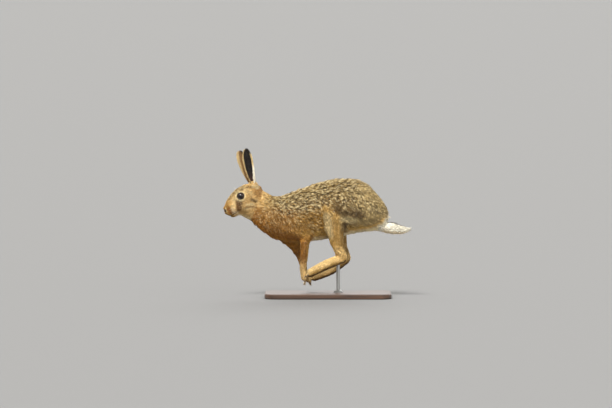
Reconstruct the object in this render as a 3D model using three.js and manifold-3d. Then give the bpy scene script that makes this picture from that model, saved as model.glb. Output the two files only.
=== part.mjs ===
// A brown hare in mid gallop, life-size, on a plain display stand: the hind feet swing forward outside the
// fore feet.
// Millimetres, +Z up. The nose points to -X and the hare's left side to -Y. The origin is the middle of the
// stand's underside. The flesh is one smooth field, meshed piece by piece and parted with thin cuts.
import * as THREE from "three";
import { ConvexGeometry } from "three/addons/geometries/ConvexGeometry.js";
import { LoftGeometry } from "three/addons/geometries/LoftGeometry.js";
import { mergeVertices } from "three/addons/utils/BufferGeometryUtils.js";
import Module from "manifold-3d";

const wasm = await Module();
wasm.setup();

// Driving sizes

const GAP = 0.3; // clear space between neighbouring pieces
const LEFT = -1;
const RIGHT = 1;

const STAND = {
  length: 360,
  width: 180,
  thickness: 14,
  corner: 34,
  chamfer: 2.5,
  hareOffset: 6, // the hare stands this far behind the middle, so that its weight is over the base
  clearance: 4, // from the base's top to the level that the paws swing over
  rodRadius: 5,
  rodX: 23, // between the shins, in the hare's own frame
  rodSink: 16, // how far the rod runs up into the belly
  collarRadius: 13,
  collarHeight: 7,
  collar: { skirt: 2, slope: 3, roundOff: 1.5 }, // the steps of its turned profile
};

// The trunk and neck from throat to rump: x, height of the back, height of the belly, and half the width.
const TRUNK = [
  [-246, 286, 217, 13],
  [-238, 292, 208, 17],
  [-226, 300, 199, 22],
  [-211, 301, 186, 27],
  [-190, 287.5, 167, 33],
  [-168, 273.5, 151, 38],
  [-142, 272, 142.5, 43],
  [-114, 282, 139.5, 47],
  [-80, 294, 139.5, 50],
  [-43, 307, 142.5, 51],
  [-6, 317, 148, 52],
  [28, 320.5, 155, 54],
  [60, 321, 162, 54],
  [86, 316, 166.5, 51],
  [108, 303.5, 169.5, 47],
  [131, 279.5, 175, 40],
  [147, 261, 184, 31],
  [157, 247, 196, 20.5],
  [162.5, 233, 211, 9],
];
const BELLY_SHARE = 0.46; // the trunk is widest at this share of its height

// The head in its own frame: s runs from the eyes to the nose, t up through the crown, both from the eyes.
const HEAD = {
  eyes: new THREE.Vector3(-255.4, 0, 272.2),
  tilt: 35, // the muzzle points this far below level
  yaw: 5, // and turns this far to the hare's left
  pivotX: -205,
  skull: [
    [62.5, -9, -23, 7],
    [59, -2, -29, 12],
    [50, 6, -36, 15],
    [40, 12.5, -42.5, 17.5],
    [28, 17, -48.5, 20],
    [14, 20.8, -50.5, 23.5],
    [0, 22.8, -50, 26],
    [-14, 21.8, -46, 26.5],
    [-30, 16, -36, 25],
    [-44, 6, -27, 20],
    [-54, -5, -18, 11],
    [-57, -9, -14, 5],
  ],
  noseBand: 0.5, // the head is widest at this share of its height
};
// Soft forms of the face: s, t, distance from the middle, and the three radii along s, t and across.
const FACE_FORMS = {
  lipPad: [50, -22, 7, 13, 10.5, 8.5],
  nosePad: [56.5, -6.5, 0, 7.5, 7.5, 8],
  chin: [45, -35, 0, 11, 7, 8],
  cheek: [17, -23, 15, 20, 16, 11.5],
  brow: [-3, 10, 16, 14, 8.5, 9.5],
};
const EYE = { radius: 9.8, out: 18.6, ahead: 0.13, above: 0.1 };
const LID = { radius: 9, tube: 2.1, out: 5.6, stretch: 1.08, tubeSides: 6 };
const NOSTRIL = { s: 60.5, t: -7.5, out: 4.3, length: 3.6, height: 1.5, reach: 4.7, slant: 0.7 };
const MOUTH = {
  slit: 1.1,
  backSlit: 0.7, // the slit narrows to this at the corner of the mouth
  depth: 2.2,
  backS: 36,
  backT: -30.5,
  frontS: 66,
  frontT: -27.5,
  sag: 2.4,
  width: 60, // across the whole muzzle, and past it
};
const CLEFT = { slit: 1.1, topT: -12, backS: 44, frontS: 70 };

// Each ear: where its axis leaves the skull, its tip, and the way that its cup opens.
const EARS = {
  left: {
    root: new THREE.Vector3(-216.5, -15, 297),
    tip: new THREE.Vector3(-238, -25, 404),
    opening: new THREE.Vector3(-0.3, -0.95, 0),
  },
  right: {
    root: new THREE.Vector3(-219, 15, 297.5),
    tip: new THREE.Vector3(-258, 33, 396),
    opening: new THREE.Vector3(-0.25, 0.97, 0),
  },
};
const EAR_WALL = 2.8;
const EAR_THINNEST = 0.55; // the wall's most, as a share of the cup's radius
const EAR_WALL_POINTS = 9;
const EAR_EDGE_ROUND = 1 / 6; // the wall's inside stops this share of its thickness short of the edge
const EAR_SINK = 13; // how far the ear's root runs down inside the head
const EAR_CUP_SINK = 7.8; // how far its cup does
const EAR_ROOT = { radius: 10.5, flare: 1, rise: 5 }; // the swelling of the head round it
// Share of the ear's length, radius of the cup, and how far each way its wall wraps, in degrees.
const EAR_SECTIONS = [
  [0, 7.5, 165],
  [0.12, 8.2, 158],
  [0.24, 9.3, 142],
  [0.36, 11, 120],
  [0.48, 12.8, 104],
  [0.6, 14, 92],
  [0.72, 14.6, 84],
  [0.82, 14.5, 78],
  [0.9, 12.9, 74],
  [0.96, 10, 72],
  [1, 5.4, 70],
];

// Limb stations: x, distance from the middle, height, radius seen from the side, and the share of it across.
const HIND_LEGS = {
  left: [
    [92, 33, 241, 44, 0.5],
    [48, 43, 239, 38, 0.55],
    [5, 53, 235, 23.5, 0.64],
    [13, 53, 201, 25.5, 0.64],
    [15.5, 51.5, 167, 24.5, 0.67],
    [19, 50.5, 147, 22, 0.72],
    [24, 50, 127, 17.5, 0.82],
    [32, 50.5, 106, 15.5, 0.9],
    [36, 51, 97, 12.5, 1],
    [17, 53, 89.5, 15, 1],
    [-10, 54, 78.5, 14.8, 1.1],
    [-36, 54.5, 65.5, 14, 1.15],
    [-54, 54.5, 56, 13.2, 1.2],
  ],
  right: [
    [92, 33, 239, 44, 0.5],
    [50, 43, 235, 38, 0.55],
    [8, 53, 230, 23.5, 0.64],
    [18, 53, 195, 25.5, 0.64],
    [24, 51.5, 161, 24, 0.67],
    [28, 50.5, 141, 21.5, 0.72],
    [34, 50, 121, 17, 0.82],
    [43, 50.5, 99, 15, 0.9],
    [47, 51, 90, 12.5, 1],
    [31, 53, 77, 15, 1],
    [5, 54, 57.5, 14.2, 1.1],
    [-21, 54.5, 44.5, 12.6, 1.2],
    [-42, 54.5, 36, 11.5, 1.3],
  ],
};
const FORE_LEGS = {
  left: [
    [-150, 28, 206, 34, 0.55],
    [-112, 31, 182, 25, 0.66],
    [-75, 31, 161, 16.5, 0.84],
    [-72.5, 28, 122, 13, 0.95],
    [-75, 22, 84, 10.8, 1],
    [-76, 19, 64, 11, 1.05],
    [-73, 17.5, 41, 10.5, 1.15],
  ],
  right: [
    [-152, 28, 200, 34, 0.55],
    [-127, 31, 164, 29, 0.64],
    [-100, 30, 131, 20, 0.8],
    [-85, 27, 102, 13.5, 0.95],
    [-77, 22, 74, 10.8, 1],
    [-74, 19, 55, 11, 1.05],
    [-62, 17.5, 34, 10.5, 1.15],
  ],
};
const THIGH_STATIONS = 4; // how many hind leg stations the trunk's flank follows
const UPPER_ARM_STATIONS = 3;
// Toes fan out ahead of a foot's last station: their spacing, each one's length, their radius, how long the
// claws are beyond them, and how far they sink towards their tips as a share of their length.
const HIND_TOES = { spacing: 7.6, lengths: [9, 14, 14.5, 10], radius: 6, claw: 7.7, drop: 0.12 };
const FORE_TOES = { spacing: 5.8, lengths: [9, 13.5, 14, 10], radius: 5, claw: 6.5, drop: 0.06 };
const TOE = {
  sink: 6, // how far a toe's root lies inside the foot
  rootSpread: 0.8, // share of the spacing at the roots, and at the tips
  tipSpread: 1.12,
  knuckle: 0.6, // where along it the toe is highest, and by how much
  arch: 1.2,
  tipRadius: 0.78, // share of the toe's radius
  room: { back: 12, below: 10, radius: 24 }, // a ball about all of a foot's toes
};
const CLAW = { radius: 1.6, tip: 0.35, sink: 4, hook: 2.2, sides: 5, turns: 2 };

const TAIL = [
  [112, 0, 192, 17, 1],
  [152, 0, 184.5, 15, 1],
  [177, 0, 179, 15, 1],
  [202, 0, 175, 10.8, 1],
  [218, 0, 175.5, 5.6, 1],
  [225.5, 0, 176.5, 2.2, 1],
];

// How softly forms run into one another
const BLEND = { neck: 16, hindLeg: 15, foreLeg: 11, tail: 10, face: 6, ear: 7, toe: 2.5 };

// Straight cuts between pieces, each as two points (x, z) seen from the side.
const CUTS = {
  headNeck: [[-195, 286], [-231, 202]],
  neckTorso: [[-150, 276], [-194, 158]],
  knee: { left: [[-30, 268], [48, 178]], right: [[-28, 264], [52, 174]] },
  hock: { left: [[-5, 108], [60, 118]], right: [[8, 100], [72, 112]] },
  elbow: { left: [[-100, 146], [-50, 150]], right: [[-120, 104], [-68, 136]] },
  wrist: { left: [[-100, 74], [-50, 74]], right: [[-105, 60], [-50, 70]] },
};
const TAIL_REGION = [[147, 208], [140, 155], [245, 155], [245, 208]];
// The inner face of each leg's cut: distance from the middle at a height, and its lean.
const INNER_FACE = {
  hind: { at: 259, out: 40, lean: 0.158, margin: 8 },
  fore: { at: 217, out: 23, lean: 0.11, margin: 8 },
};

// Grid cells that each piece of flesh is meshed on
const CELL = {
  torso: 16,
  neck: 11,
  head: 5.2,
  thigh: 12,
  lowerLeg: 9.2,
  hindFoot: 6.6,
  shoulder: 11.5,
  forearm: 7.5,
  forepaw: 6,
  tail: 7.5,
};
const CORE_CELLS = 1.5; // the head's core, down to which its slits are cut, is meshed this much coarser
const SETTLING = { passes: 3, step: 0.4, flattest: 1e-4, most: 0.3 }; // most is a share of a cell
const SLIVER = 0.02; // detail below this is an accident of the cuts
const RING_SIDES = 20;
const REGION_SIDES = 12;
const BALL_SEGMENTS = [14, 9];
const BEYOND = 900; // longer than anything that a cut goes through
const LEG_ROOM = 140; // from the middle to the outer face of the room that a leg takes
const TAIL_ROOM = 60;

// Numbers and fields

const clamp = (value, low, high) => Math.min(high, Math.max(low, value));
const mix = (a, b, share) => a + (b - a) * share;

/** Runs two distance fields together over a width of k. */
function blend(a, b, k) {
  const h = Math.max(k - Math.abs(a - b), 0) / k;
  return Math.min(a, b) - (h * h * k) / 4;
}

/** Cubic interpolation of a table's columns, whose first column rises or falls steadily. */
function tableAt(rows, key) {
  const way = Math.sign(rows[rows.length - 1][0] - rows[0][0]);
  let i = 0;
  while (i < rows.length - 2 && way * (key - rows[i + 1][0]) > 0) i++;
  const [a, b] = [rows[i], rows[i + 1]];
  const before = rows[Math.max(i - 1, 0)];
  const after = rows[Math.min(i + 2, rows.length - 1)];
  const u = clamp((key - a[0]) / (b[0] - a[0]), 0, 1);
  return a.slice(1).map((value, c) => {
    const slope = (p, q) => ((q[c + 1] - p[c + 1]) / (q[0] - p[0])) * (b[0] - a[0]);
    const m0 = slope(before, b);
    const m1 = slope(a, after);
    const u2 = u * u;
    const u3 = u2 * u;
    const end = b[c + 1];
    return (2 * u3 - 3 * u2 + 1) * value + (u3 - 2 * u2 + u) * m0 + (3 * u2 - 2 * u3) * end + (u3 - u2) * m1;
  });
}

/** Field of a body whose table gives its top, bottom and half width along an axis. */
function profileField(rows, widestShare) {
  const ends = [rows[0][0], rows[rows.length - 1][0]];
  const [low, high] = [Math.min(...ends), Math.max(...ends)];
  return (along, across, up) => {
    const inside = clamp(along, low, high);
    const [top, bottom, half] = tableAt(rows, inside);
    const middle = mix(bottom, top, widestShare);
    const rise = up > middle ? top - middle : middle - bottom;
    const share = Math.hypot((up - middle) / rise, across / half);
    return (share - 1) * Math.min(rise, half) + Math.abs(along - inside);
  };
}

/** Field of a limb: a chain of round stations, each flattened across. */
function limbField(side, stations, samplesPerSpan = 4) {
  const points = stations.map(([x, y, z]) => new THREE.Vector3(x, side * y, z));
  const curve = new THREE.CatmullRomCurve3(points, false, "centripetal");
  const spans = stations.length - 1;
  const rows = [];
  for (let n = 0; n <= spans * samplesPerSpan; n++) {
    const place = n / samplesPerSpan;
    const i = Math.min(Math.floor(place), spans - 1);
    const share = place - i;
    rows.push({
      at: curve.getPoint(place / spans),
      radius: mix(stations[i][3], stations[i + 1][3], share),
      flat: mix(stations[i][4], stations[i + 1][4], share),
    });
  }
  return (x, y, z) => {
    let nearest = Infinity;
    for (let n = 0; n < rows.length - 1; n++) {
      const [a, b] = [rows[n], rows[n + 1]];
      const [dx, dy, dz] = [b.at.x - a.at.x, b.at.y - a.at.y, b.at.z - a.at.z];
      const along = (x - a.at.x) * dx + (y - a.at.y) * dy + (z - a.at.z) * dz;
      const u = clamp(along / (dx * dx + dy * dy + dz * dz), 0, 1);
      const flat = mix(a.flat, b.flat, u);
      const across = (y - a.at.y - dy * u) / flat;
      const reach = Math.hypot(x - a.at.x - dx * u, across, z - a.at.z - dz * u);
      nearest = Math.min(nearest, (reach - mix(a.radius, b.radius, u)) * Math.min(1, flat));
    }
    return nearest;
  };
}

/** A round limb station at a point. */
const roundRow = (point, radius) => [point.x, point.y, point.z, radius, 1];

/** Field of a small ellipsoid, about its centre. */
function ellipsoidField(dx, dy, dz, rx, ry, rz) {
  return (Math.hypot(dx / rx, dy / ry, dz / rz) - 1) * Math.min(rx, ry, rz);
}

// The head's own frame

const headMatrix = new THREE.Matrix4();
{
  const tilt = THREE.MathUtils.degToRad(HEAD.tilt);
  const forward = new THREE.Vector3(-Math.cos(tilt), 0, -Math.sin(tilt));
  const up = new THREE.Vector3(-Math.sin(tilt), 0, Math.cos(tilt));
  const across = new THREE.Vector3(0, 1, 0);
  const turn = new THREE.Matrix4()
    .makeTranslation(HEAD.pivotX, 0, 0)
    .multiply(new THREE.Matrix4().makeRotationZ(THREE.MathUtils.degToRad(HEAD.yaw)))
    .multiply(new THREE.Matrix4().makeTranslation(-HEAD.pivotX, 0, 0));
  headMatrix.makeBasis(forward, up, across).setPosition(HEAD.eyes).premultiply(turn);
}
const headInverse = headMatrix.clone().invert();
const headPoint = (s, t, out) => new THREE.Vector3(s, t, out).applyMatrix4(headMatrix);
const headWay = (s, t, out) => new THREE.Vector3(s, t, out).transformDirection(headMatrix);

// The fields of flesh

const trunkField = profileField(TRUNK, BELLY_SHARE);
const skullProfile = profileField(HEAD.skull, HEAD.noseBand);

const earRootFields = Object.values(EARS).map(({ root, tip }) => {
  const way = tip.clone().sub(root).normalize();
  const foot = root.clone().addScaledVector(way, -EAR_SINK);
  const collar = root.clone().addScaledVector(way, EAR_ROOT.rise);
  const rows = [roundRow(foot, EAR_ROOT.radius + EAR_ROOT.flare), roundRow(collar, EAR_ROOT.radius)];
  return limbField(1, rows, 1);
});

const local = new THREE.Vector3();
/** The skull with its muzzle, cheeks, brows and ear roots. */
function headField(x, y, z) {
  local.set(x, y, z).applyMatrix4(headInverse);
  let value = skullProfile(local.x, local.z, local.y);
  const out = Math.abs(local.z);
  for (const [s, t, apart, rs, rt, ro] of Object.values(FACE_FORMS)) {
    value = blend(value, ellipsoidField(local.x - s, local.y - t, out - apart, rs, rt, ro), BLEND.face);
  }
  for (const root of earRootFields) value = blend(value, root(x, y, z), BLEND.ear);
  return value;
}

const tailField = limbField(1, TAIL);
const upperFields = [
  [LEFT, HIND_LEGS.left, THIGH_STATIONS, BLEND.hindLeg],
  [RIGHT, HIND_LEGS.right, THIGH_STATIONS, BLEND.hindLeg],
  [LEFT, FORE_LEGS.left, UPPER_ARM_STATIONS, BLEND.foreLeg],
  [RIGHT, FORE_LEGS.right, UPPER_ARM_STATIONS, BLEND.foreLeg],
].map(([side, stations, count, k]) => ({ field: limbField(side, stations.slice(0, count)), k }));

/** Trunk, neck, head, tail and the flesh that the legs grow from. */
function bodyField(x, y, z) {
  let value = blend(trunkField(x, y, z), headField(x, y, z), BLEND.neck);
  value = blend(value, tailField(x, y, z), BLEND.tail);
  for (const { field, k } of upperFields) value = blend(value, field(x, y, z), k);
  return value;
}

/** The toes of a foot: each a short chain that fans out from the foot's last station. */
function toeChains(side, stations, toes) {
  const [heel, ball] = stations.slice(-2).map(([x, y, z]) => new THREE.Vector3(x, side * y, z));
  const forward = ball.clone().sub(heel).normalize();
  const middle = (toes.lengths.length - 1) / 2;
  return toes.lengths.map((length, n) => {
    const aside = side * (n - middle) * toes.spacing;
    const root = ball.clone().addScaledVector(forward, -TOE.sink);
    root.y += aside * TOE.rootSpread;
    const tip = ball.clone().addScaledVector(forward, length);
    tip.y += aside * TOE.tipSpread;
    tip.z -= length * toes.drop;
    const bend = root.clone().lerp(tip, TOE.knuckle);
    bend.z += TOE.arch;
    return { root, bend, tip, forward };
  });
}

/** The field of a whole leg run into the trunk, toes included. */
function legField(side, stations, toes, k) {
  const limb = limbField(side, stations);
  const fan = toeChains(side, stations, toes).map(({ root, bend, tip }) => {
    const { radius } = toes;
    const rows = [roundRow(root, radius), roundRow(bend, radius), roundRow(tip, radius * TOE.tipRadius)];
    return limbField(1, rows, 2);
  });
  return (x, y, z) => {
    let value = limb(x, y, z);
    for (const toe of fan) value = blend(value, toe(x, y, z), BLEND.toe);
    return blend(trunkField(x, y, z), value, k);
  };
}

// Meshing a field

const CORNERS = [0, 1, 2, 3, 4, 5, 6, 7].map((n) => [n & 1, (n >> 1) & 1, (n >> 2) & 1]);
const CELL_EDGES = [
  [0, 1], [2, 3], [4, 5], [6, 7],
  [0, 2], [1, 3], [4, 6], [5, 7],
  [0, 4], [1, 5], [2, 6], [3, 7],
];

/** Moves a point along the field's slope until it lies on the level asked for. */
function settle(point, field, level, mostMove) {
  const { passes, step, flattest } = SETTLING;
  const start = point.clone();
  for (let pass = 0; pass < passes; pass++) {
    const { x, y, z } = point;
    const here = field(x, y, z) - level;
    const slope = new THREE.Vector3(
      field(x + step, y, z) - field(x - step, y, z),
      field(x, y + step, z) - field(x, y - step, z),
      field(x, y, z + step) - field(x, y, z - step),
    ).divideScalar(2 * step);
    const steepness = slope.lengthSq();
    if (steepness < flattest) break;
    point.addScaledVector(slope, -here / steepness);
  }
  const moved = point.clone().sub(start);
  return moved.length() > mostMove ? point.copy(start).addScaledVector(moved.normalize(), mostMove) : point;
}

/** A closed geometry of a field's surface: a point in each crossed cell, a quad across each crossed edge. */
function fieldGeometry(field, box, cell, level = 0) {
  const counts = box.getSize(new THREE.Vector3()).divideScalar(cell).ceil().addScalar(1).toArray();
  const [nx, ny, nz] = counts;
  const at = (i, j, k) => (k * ny + j) * nx + i;
  const place = (i, j, k) => new THREE.Vector3(i, j, k).multiplyScalar(cell).add(box.min);
  const values = new Float64Array(nx * ny * nz);
  const onRim = (i, j, k) => [i, j, k].some((n, axis) => n === 0 || n === counts[axis] - 1);
  for (let k = 0; k < nz; k++)
    for (let j = 0; j < ny; j++)
      for (let i = 0; i < nx; i++) {
        const { x, y, z } = place(i, j, k);
        const value = field(x, y, z) - level;
        values[at(i, j, k)] = onRim(i, j, k) ? Math.max(value, cell * 0.5) : value;
      }
  const vertices = [];
  const cellVertex = new Map();
  for (let k = 0; k < nz - 1; k++)
    for (let j = 0; j < ny - 1; j++)
      for (let i = 0; i < nx - 1; i++) {
        const levels = CORNERS.map(([a, b, c]) => values[at(i + a, j + b, k + c)]);
        const crossings = CELL_EDGES.filter(([a, b]) => levels[a] < 0 !== levels[b] < 0);
        if (!crossings.length) continue;
        const sum = new THREE.Vector3();
        for (const [a, b] of crossings) {
          const share = levels[a] / (levels[a] - levels[b]);
          sum.add(new THREE.Vector3(...CORNERS[a]).lerp(new THREE.Vector3(...CORNERS[b]), share));
        }
        const point = sum.divideScalar(crossings.length).multiplyScalar(cell).add(place(i, j, k));
        const nearRim = onRim(i, j, k) || onRim(i + 1, j + 1, k + 1);
        if (!nearRim) settle(point, field, level, cell * SETTLING.most);
        cellVertex.set(at(i, j, k), vertices.length / 3);
        vertices.push(point.x, point.y, point.z);
      }
  const faces = [];
  const corner = (n) => new THREE.Vector3().fromArray(vertices, 3 * n);
  const quad = (cells, flip) => {
    const ring = cells.map((n) => cellVertex.get(n));
    const [a, b, c, d] = flip ? ring.reverse() : ring;
    const shorter = corner(a).distanceTo(corner(c)) <= corner(b).distanceTo(corner(d));
    faces.push(...(shorter ? [a, b, c, a, c, d] : [a, b, d, b, c, d]));
  };
  for (let k = 0; k < nz - 1; k++)
    for (let j = 0; j < ny - 1; j++)
      for (let i = 0; i < nx - 1; i++) {
        const inside = values[at(i, j, k)] < 0;
        if (j && k && inside !== values[at(i + 1, j, k)] < 0)
          quad([at(i, j - 1, k - 1), at(i, j, k - 1), at(i, j, k), at(i, j - 1, k)], !inside);
        if (i && k && inside !== values[at(i, j + 1, k)] < 0)
          quad([at(i - 1, j, k - 1), at(i - 1, j, k), at(i, j, k), at(i, j, k - 1)], !inside);
        if (i && j && inside !== values[at(i, j, k + 1)] < 0)
          quad([at(i - 1, j - 1, k), at(i, j - 1, k), at(i, j, k), at(i - 1, j, k)], !inside);
      }
  const geometry = new THREE.BufferGeometry();
  geometry.setAttribute("position", new THREE.Float32BufferAttribute(vertices, 3));
  return geometry.setIndex(faces);
}

// Solids

/** A geometry as a manifold-3d solid. */
function solidOf(geometry) {
  const bare = new THREE.BufferGeometry().setAttribute("position", geometry.getAttribute("position"));
  if (geometry.index) bare.setIndex(geometry.index);
  const merged = mergeVertices(bare, 1e-4);
  const mesh = { numProp: 3, vertProperties: merged.attributes.position.array };
  const solid = new wasm.Manifold(new wasm.Mesh({ ...mesh, triVerts: new Uint32Array(merged.index.array) }));
  if (solid.volume() > 0) return solid;
  const turned = new Uint32Array(merged.index.array).reverse();
  return new wasm.Manifold(new wasm.Mesh({ ...mesh, triVerts: turned }));
}

/** The largest closed surface of a solid, without loose scraps, sealed hollows or slivers. */
function largest(solid) {
  return solid.simplify(SLIVER).decompose().reduce((a, b) => (a.volume() > b.volume() ? a : b));
}

const fieldSolid = (field, box, cell, level) => solidOf(fieldGeometry(field, box, cell, level));

/** A box that holds limb stations with room to spare. */
function boxAround(side, stations, room) {
  const box = new THREE.Box3();
  for (const [x, y, z, radius] of stations) {
    const middle = new THREE.Vector3(x, side * y, z);
    box.expandByPoint(middle.clone().addScalar(radius)).expandByPoint(middle.clone().subScalar(radius));
  }
  return box.expandByScalar(room);
}

const boxOf = (x0, x1, y0, y1, z0, z1) => {
  return new THREE.Box3(new THREE.Vector3(x0, y0, z0), new THREE.Vector3(x1, y1, z1));
};

/**
 * Everything on one side of a cut, kept clear of it by half the gap. Seen from the hare's left, keep is +1
 * for what lies left of the way from the cut's first point to its second, and -1 for what lies right of it.
 */
function sideOfCut([[x0, z0], [x1, z1]], keep) {
  const normal = new THREE.Vector2(z0 - z1, x1 - x0).normalize().multiplyScalar(keep);
  const middle = new THREE.Vector2((x0 + x1) / 2, (z0 + z1) / 2).addScaledVector(normal, (BEYOND + GAP) / 2);
  const block = new THREE.BoxGeometry(BEYOND, BEYOND, BEYOND);
  block.rotateY(-Math.atan2(normal.y, normal.x)).translate(middle.x, 0, middle.y);
  return solidOf(block);
}

/** The room that a leg takes, seen from the side: round its stations, from its inner face outwards. */
function legRegion(side, stations, inner, grow = 0) {
  const innerAt = (z) => side * (inner.out + inner.lean * (z - inner.at) - grow);
  const outer = side * LEG_ROOM;
  const ring = ([x, , z, radius]) => {
    const points = [];
    for (let n = 0; n < REGION_SIDES; n++) {
      const angle = (n / REGION_SIDES) * 2 * Math.PI;
      const reach = radius + inner.margin + grow;
      const [px, pz] = [x + reach * Math.cos(angle), z + reach * Math.sin(angle)];
      points.push(new THREE.Vector3(px, innerAt(pz), pz), new THREE.Vector3(px, outer, pz));
    }
    return points;
  };
  return stations.slice(1).reduce((whole, station, n) => {
    const part = solidOf(new ConvexGeometry([...ring(stations[n]), ...ring(station)]));
    return whole ? whole.add(part) : part;
  }, null);
}

/** A block with the side outline given, the full width of the body. */
function blockRegion(outline, halfWidth, grow = 0) {
  const middle = outline.reduce((sum, [x, z]) => sum.add(new THREE.Vector2(x, z)), new THREE.Vector2());
  middle.divideScalar(outline.length);
  const points = outline.flatMap(([x, z]) => {
    const [px, pz] = [x + grow * Math.sign(x - middle.x), z + grow * Math.sign(z - middle.y)];
    return [new THREE.Vector3(px, -halfWidth - grow, pz), new THREE.Vector3(px, halfWidth + grow, pz)];
  });
  return solidOf(new ConvexGeometry(points));
}

// Stand

function roundedRectangle(length, width, corner) {
  const [x, y] = [length / 2, width / 2];
  const shape = new THREE.Shape();
  shape.moveTo(-x + corner, -y).lineTo(x - corner, -y);
  shape.absarc(x - corner, -y + corner, corner, -Math.PI / 2, 0);
  shape.absarc(x - corner, y - corner, corner, 0, Math.PI / 2);
  shape.absarc(-x + corner, y - corner, corner, Math.PI / 2, Math.PI);
  shape.absarc(-x + corner, -y + corner, corner, Math.PI, Math.PI * 1.5);
  return shape;
}

const hareLift = STAND.thickness + STAND.clearance;
const rodX = STAND.hareOffset + STAND.rodX;
const rodTop = hareLift + tableAt(TRUNK, STAND.rodX)[1] + STAND.rodSink;

function standBase() {
  const { length, width, thickness, corner, chamfer } = STAND;
  const shape = roundedRectangle(length - 2 * chamfer, width - 2 * chamfer, corner - chamfer);
  const geometry = new THREE.ExtrudeGeometry(shape, {
    depth: thickness - 2 * chamfer,
    bevelThickness: chamfer,
    bevelSize: chamfer,
    bevelSegments: 1,
    curveSegments: 6,
  }).translate(0, 0, chamfer);
  const socket = upright(STAND.rodRadius + GAP, thickness / 2, thickness + 1, rodX);
  return solidOf(geometry).subtract(socket);
}

/** An upright cylinder between two heights. */
function upright(radius, from, to, x) {
  const geometry = new THREE.CylinderGeometry(radius, radius, to - from, RING_SIDES);
  return solidOf(geometry.rotateX(Math.PI / 2).translate(x, 0, (from + to) / 2));
}

function standRod() {
  return upright(STAND.rodRadius, STAND.thickness / 2 + GAP, rodTop, rodX);
}

/** The turned ring that hides the rod's socket. */
function standCollar() {
  const [inner, outer] = [STAND.rodRadius + GAP, STAND.collarRadius];
  const [foot, top] = [STAND.thickness + GAP, STAND.thickness + STAND.collarHeight];
  const { skirt, slope, roundOff } = STAND.collar;
  const profile = [
    [inner, foot],
    [outer, foot],
    [outer, foot + skirt],
    [outer - slope, top - roundOff],
    [outer - slope - skirt, top],
    [inner, top],
    [inner, foot],
  ].map(([x, z]) => new THREE.Vector2(x, z));
  const geometry = new THREE.LatheGeometry(profile, RING_SIDES).rotateX(Math.PI / 2);
  return solidOf(geometry.translate(rodX, 0, 0));
}

// Ears, eyes and the openings of the face

/** One ear: a cup whose wall opens as it rises, then narrows to a rounded tip. */
function earGeometry({ root, tip, opening }) {
  const axis = tip.clone().sub(root).normalize();
  const foot = root.clone().addScaledVector(axis, -EAR_CUP_SINK);
  const length = tip.distanceTo(foot);
  const front = opening.clone().addScaledVector(axis, -opening.dot(axis)).normalize();
  const across = new THREE.Vector3().crossVectors(axis, front);
  const sections = EAR_SECTIONS.map(([place, radius, wrapDegrees]) => {
    const wrap = THREE.MathUtils.degToRad(wrapDegrees);
    const middle = foot.clone().addScaledVector(axis, length * place);
    middle.addScaledVector(front, (radius * Math.sin(wrap)) / wrap);
    const wall = Math.min(EAR_WALL, radius * EAR_THINNEST);
    const point = (r, angle) => {
      const aside = middle.clone().addScaledVector(across, r * Math.sin(angle));
      return aside.addScaledVector(front, -r * Math.cos(angle));
    };
    const inside = wrap * (1 - (wall * EAR_EDGE_ROUND) / radius);
    const shares = Array.from({ length: EAR_WALL_POINTS }, (_, n) => n / (EAR_WALL_POINTS - 1));
    return [
      ...shares.map((share) => point(radius, mix(wrap, -wrap, share))),
      ...shares.map((share) => point(radius - wall, mix(-inside, inside, share))),
    ];
  });
  return new LoftGeometry(sections, { capStart: true, capEnd: true });
}

const sides = [LEFT, RIGHT];
const eyeCentre = (side) => headPoint(0, 0, side * EYE.out);
const eyeWay = (side) => headWay(EYE.ahead, EYE.above, side);

function ballAt(centre, radius) {
  const geometry = new THREE.SphereGeometry(radius, ...BALL_SEGMENTS);
  return solidOf(geometry.translate(centre.x, centre.y, centre.z));
}

/** The raised rim of the lids round one eye. */
function lids(side) {
  const way = eyeWay(side);
  const along = headWay(1, 0, 0).addScaledVector(way, -headWay(1, 0, 0).dot(way)).normalize();
  const up = new THREE.Vector3().crossVectors(way, along);
  const middle = eyeCentre(side).addScaledVector(way, LID.out);
  const geometry = new THREE.TorusGeometry(LID.radius, LID.tube, LID.tubeSides, RING_SIDES);
  geometry.scale(LID.stretch, 1 / LID.stretch, 1);
  geometry.applyMatrix4(new THREE.Matrix4().makeBasis(along, up, way).setPosition(middle));
  return solidOf(geometry);
}

/** A slanted slit of one nostril. */
function nostril(side) {
  const geometry = new THREE.SphereGeometry(1, 10, 6);
  geometry.scale(NOSTRIL.reach, NOSTRIL.height, NOSTRIL.length);
  geometry.rotateX(-side * NOSTRIL.slant);
  geometry.translate(NOSTRIL.s, NOSTRIL.t, side * NOSTRIL.out).applyMatrix4(headMatrix);
  return solidOf(geometry);
}

/** The line between the lips as a thin curved sheet through the muzzle. */
function mouthSheet() {
  const { slit, backSlit, backS, backT, frontS, frontT, sag, width } = MOUTH;
  const shape = new THREE.Shape();
  const middle = [(backS + frontS) / 2, (backT + frontT) / 2 - sag];
  shape.moveTo(backS, backT).quadraticCurveTo(middle[0], middle[1], frontS, frontT);
  shape.lineTo(frontS, frontT + slit).quadraticCurveTo(middle[0], middle[1] + slit, backS, backT + backSlit);
  const geometry = new THREE.ExtrudeGeometry(shape, { depth: width, bevelEnabled: false, curveSegments: 6 });
  return solidOf(geometry.translate(0, 0, -width / 2).applyMatrix4(headMatrix));
}

/** The cleft of the upper lip, from the nose down to the mouth. */
function cleftSheet() {
  const { slit, topT, backS, frontS } = CLEFT;
  const geometry = new THREE.BoxGeometry(frontS - backS, topT - MOUTH.frontT, slit);
  geometry.translate((backS + frontS) / 2, (topT + MOUTH.frontT) / 2, 0);
  return solidOf(geometry.applyMatrix4(headMatrix));
}

// The pieces

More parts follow.
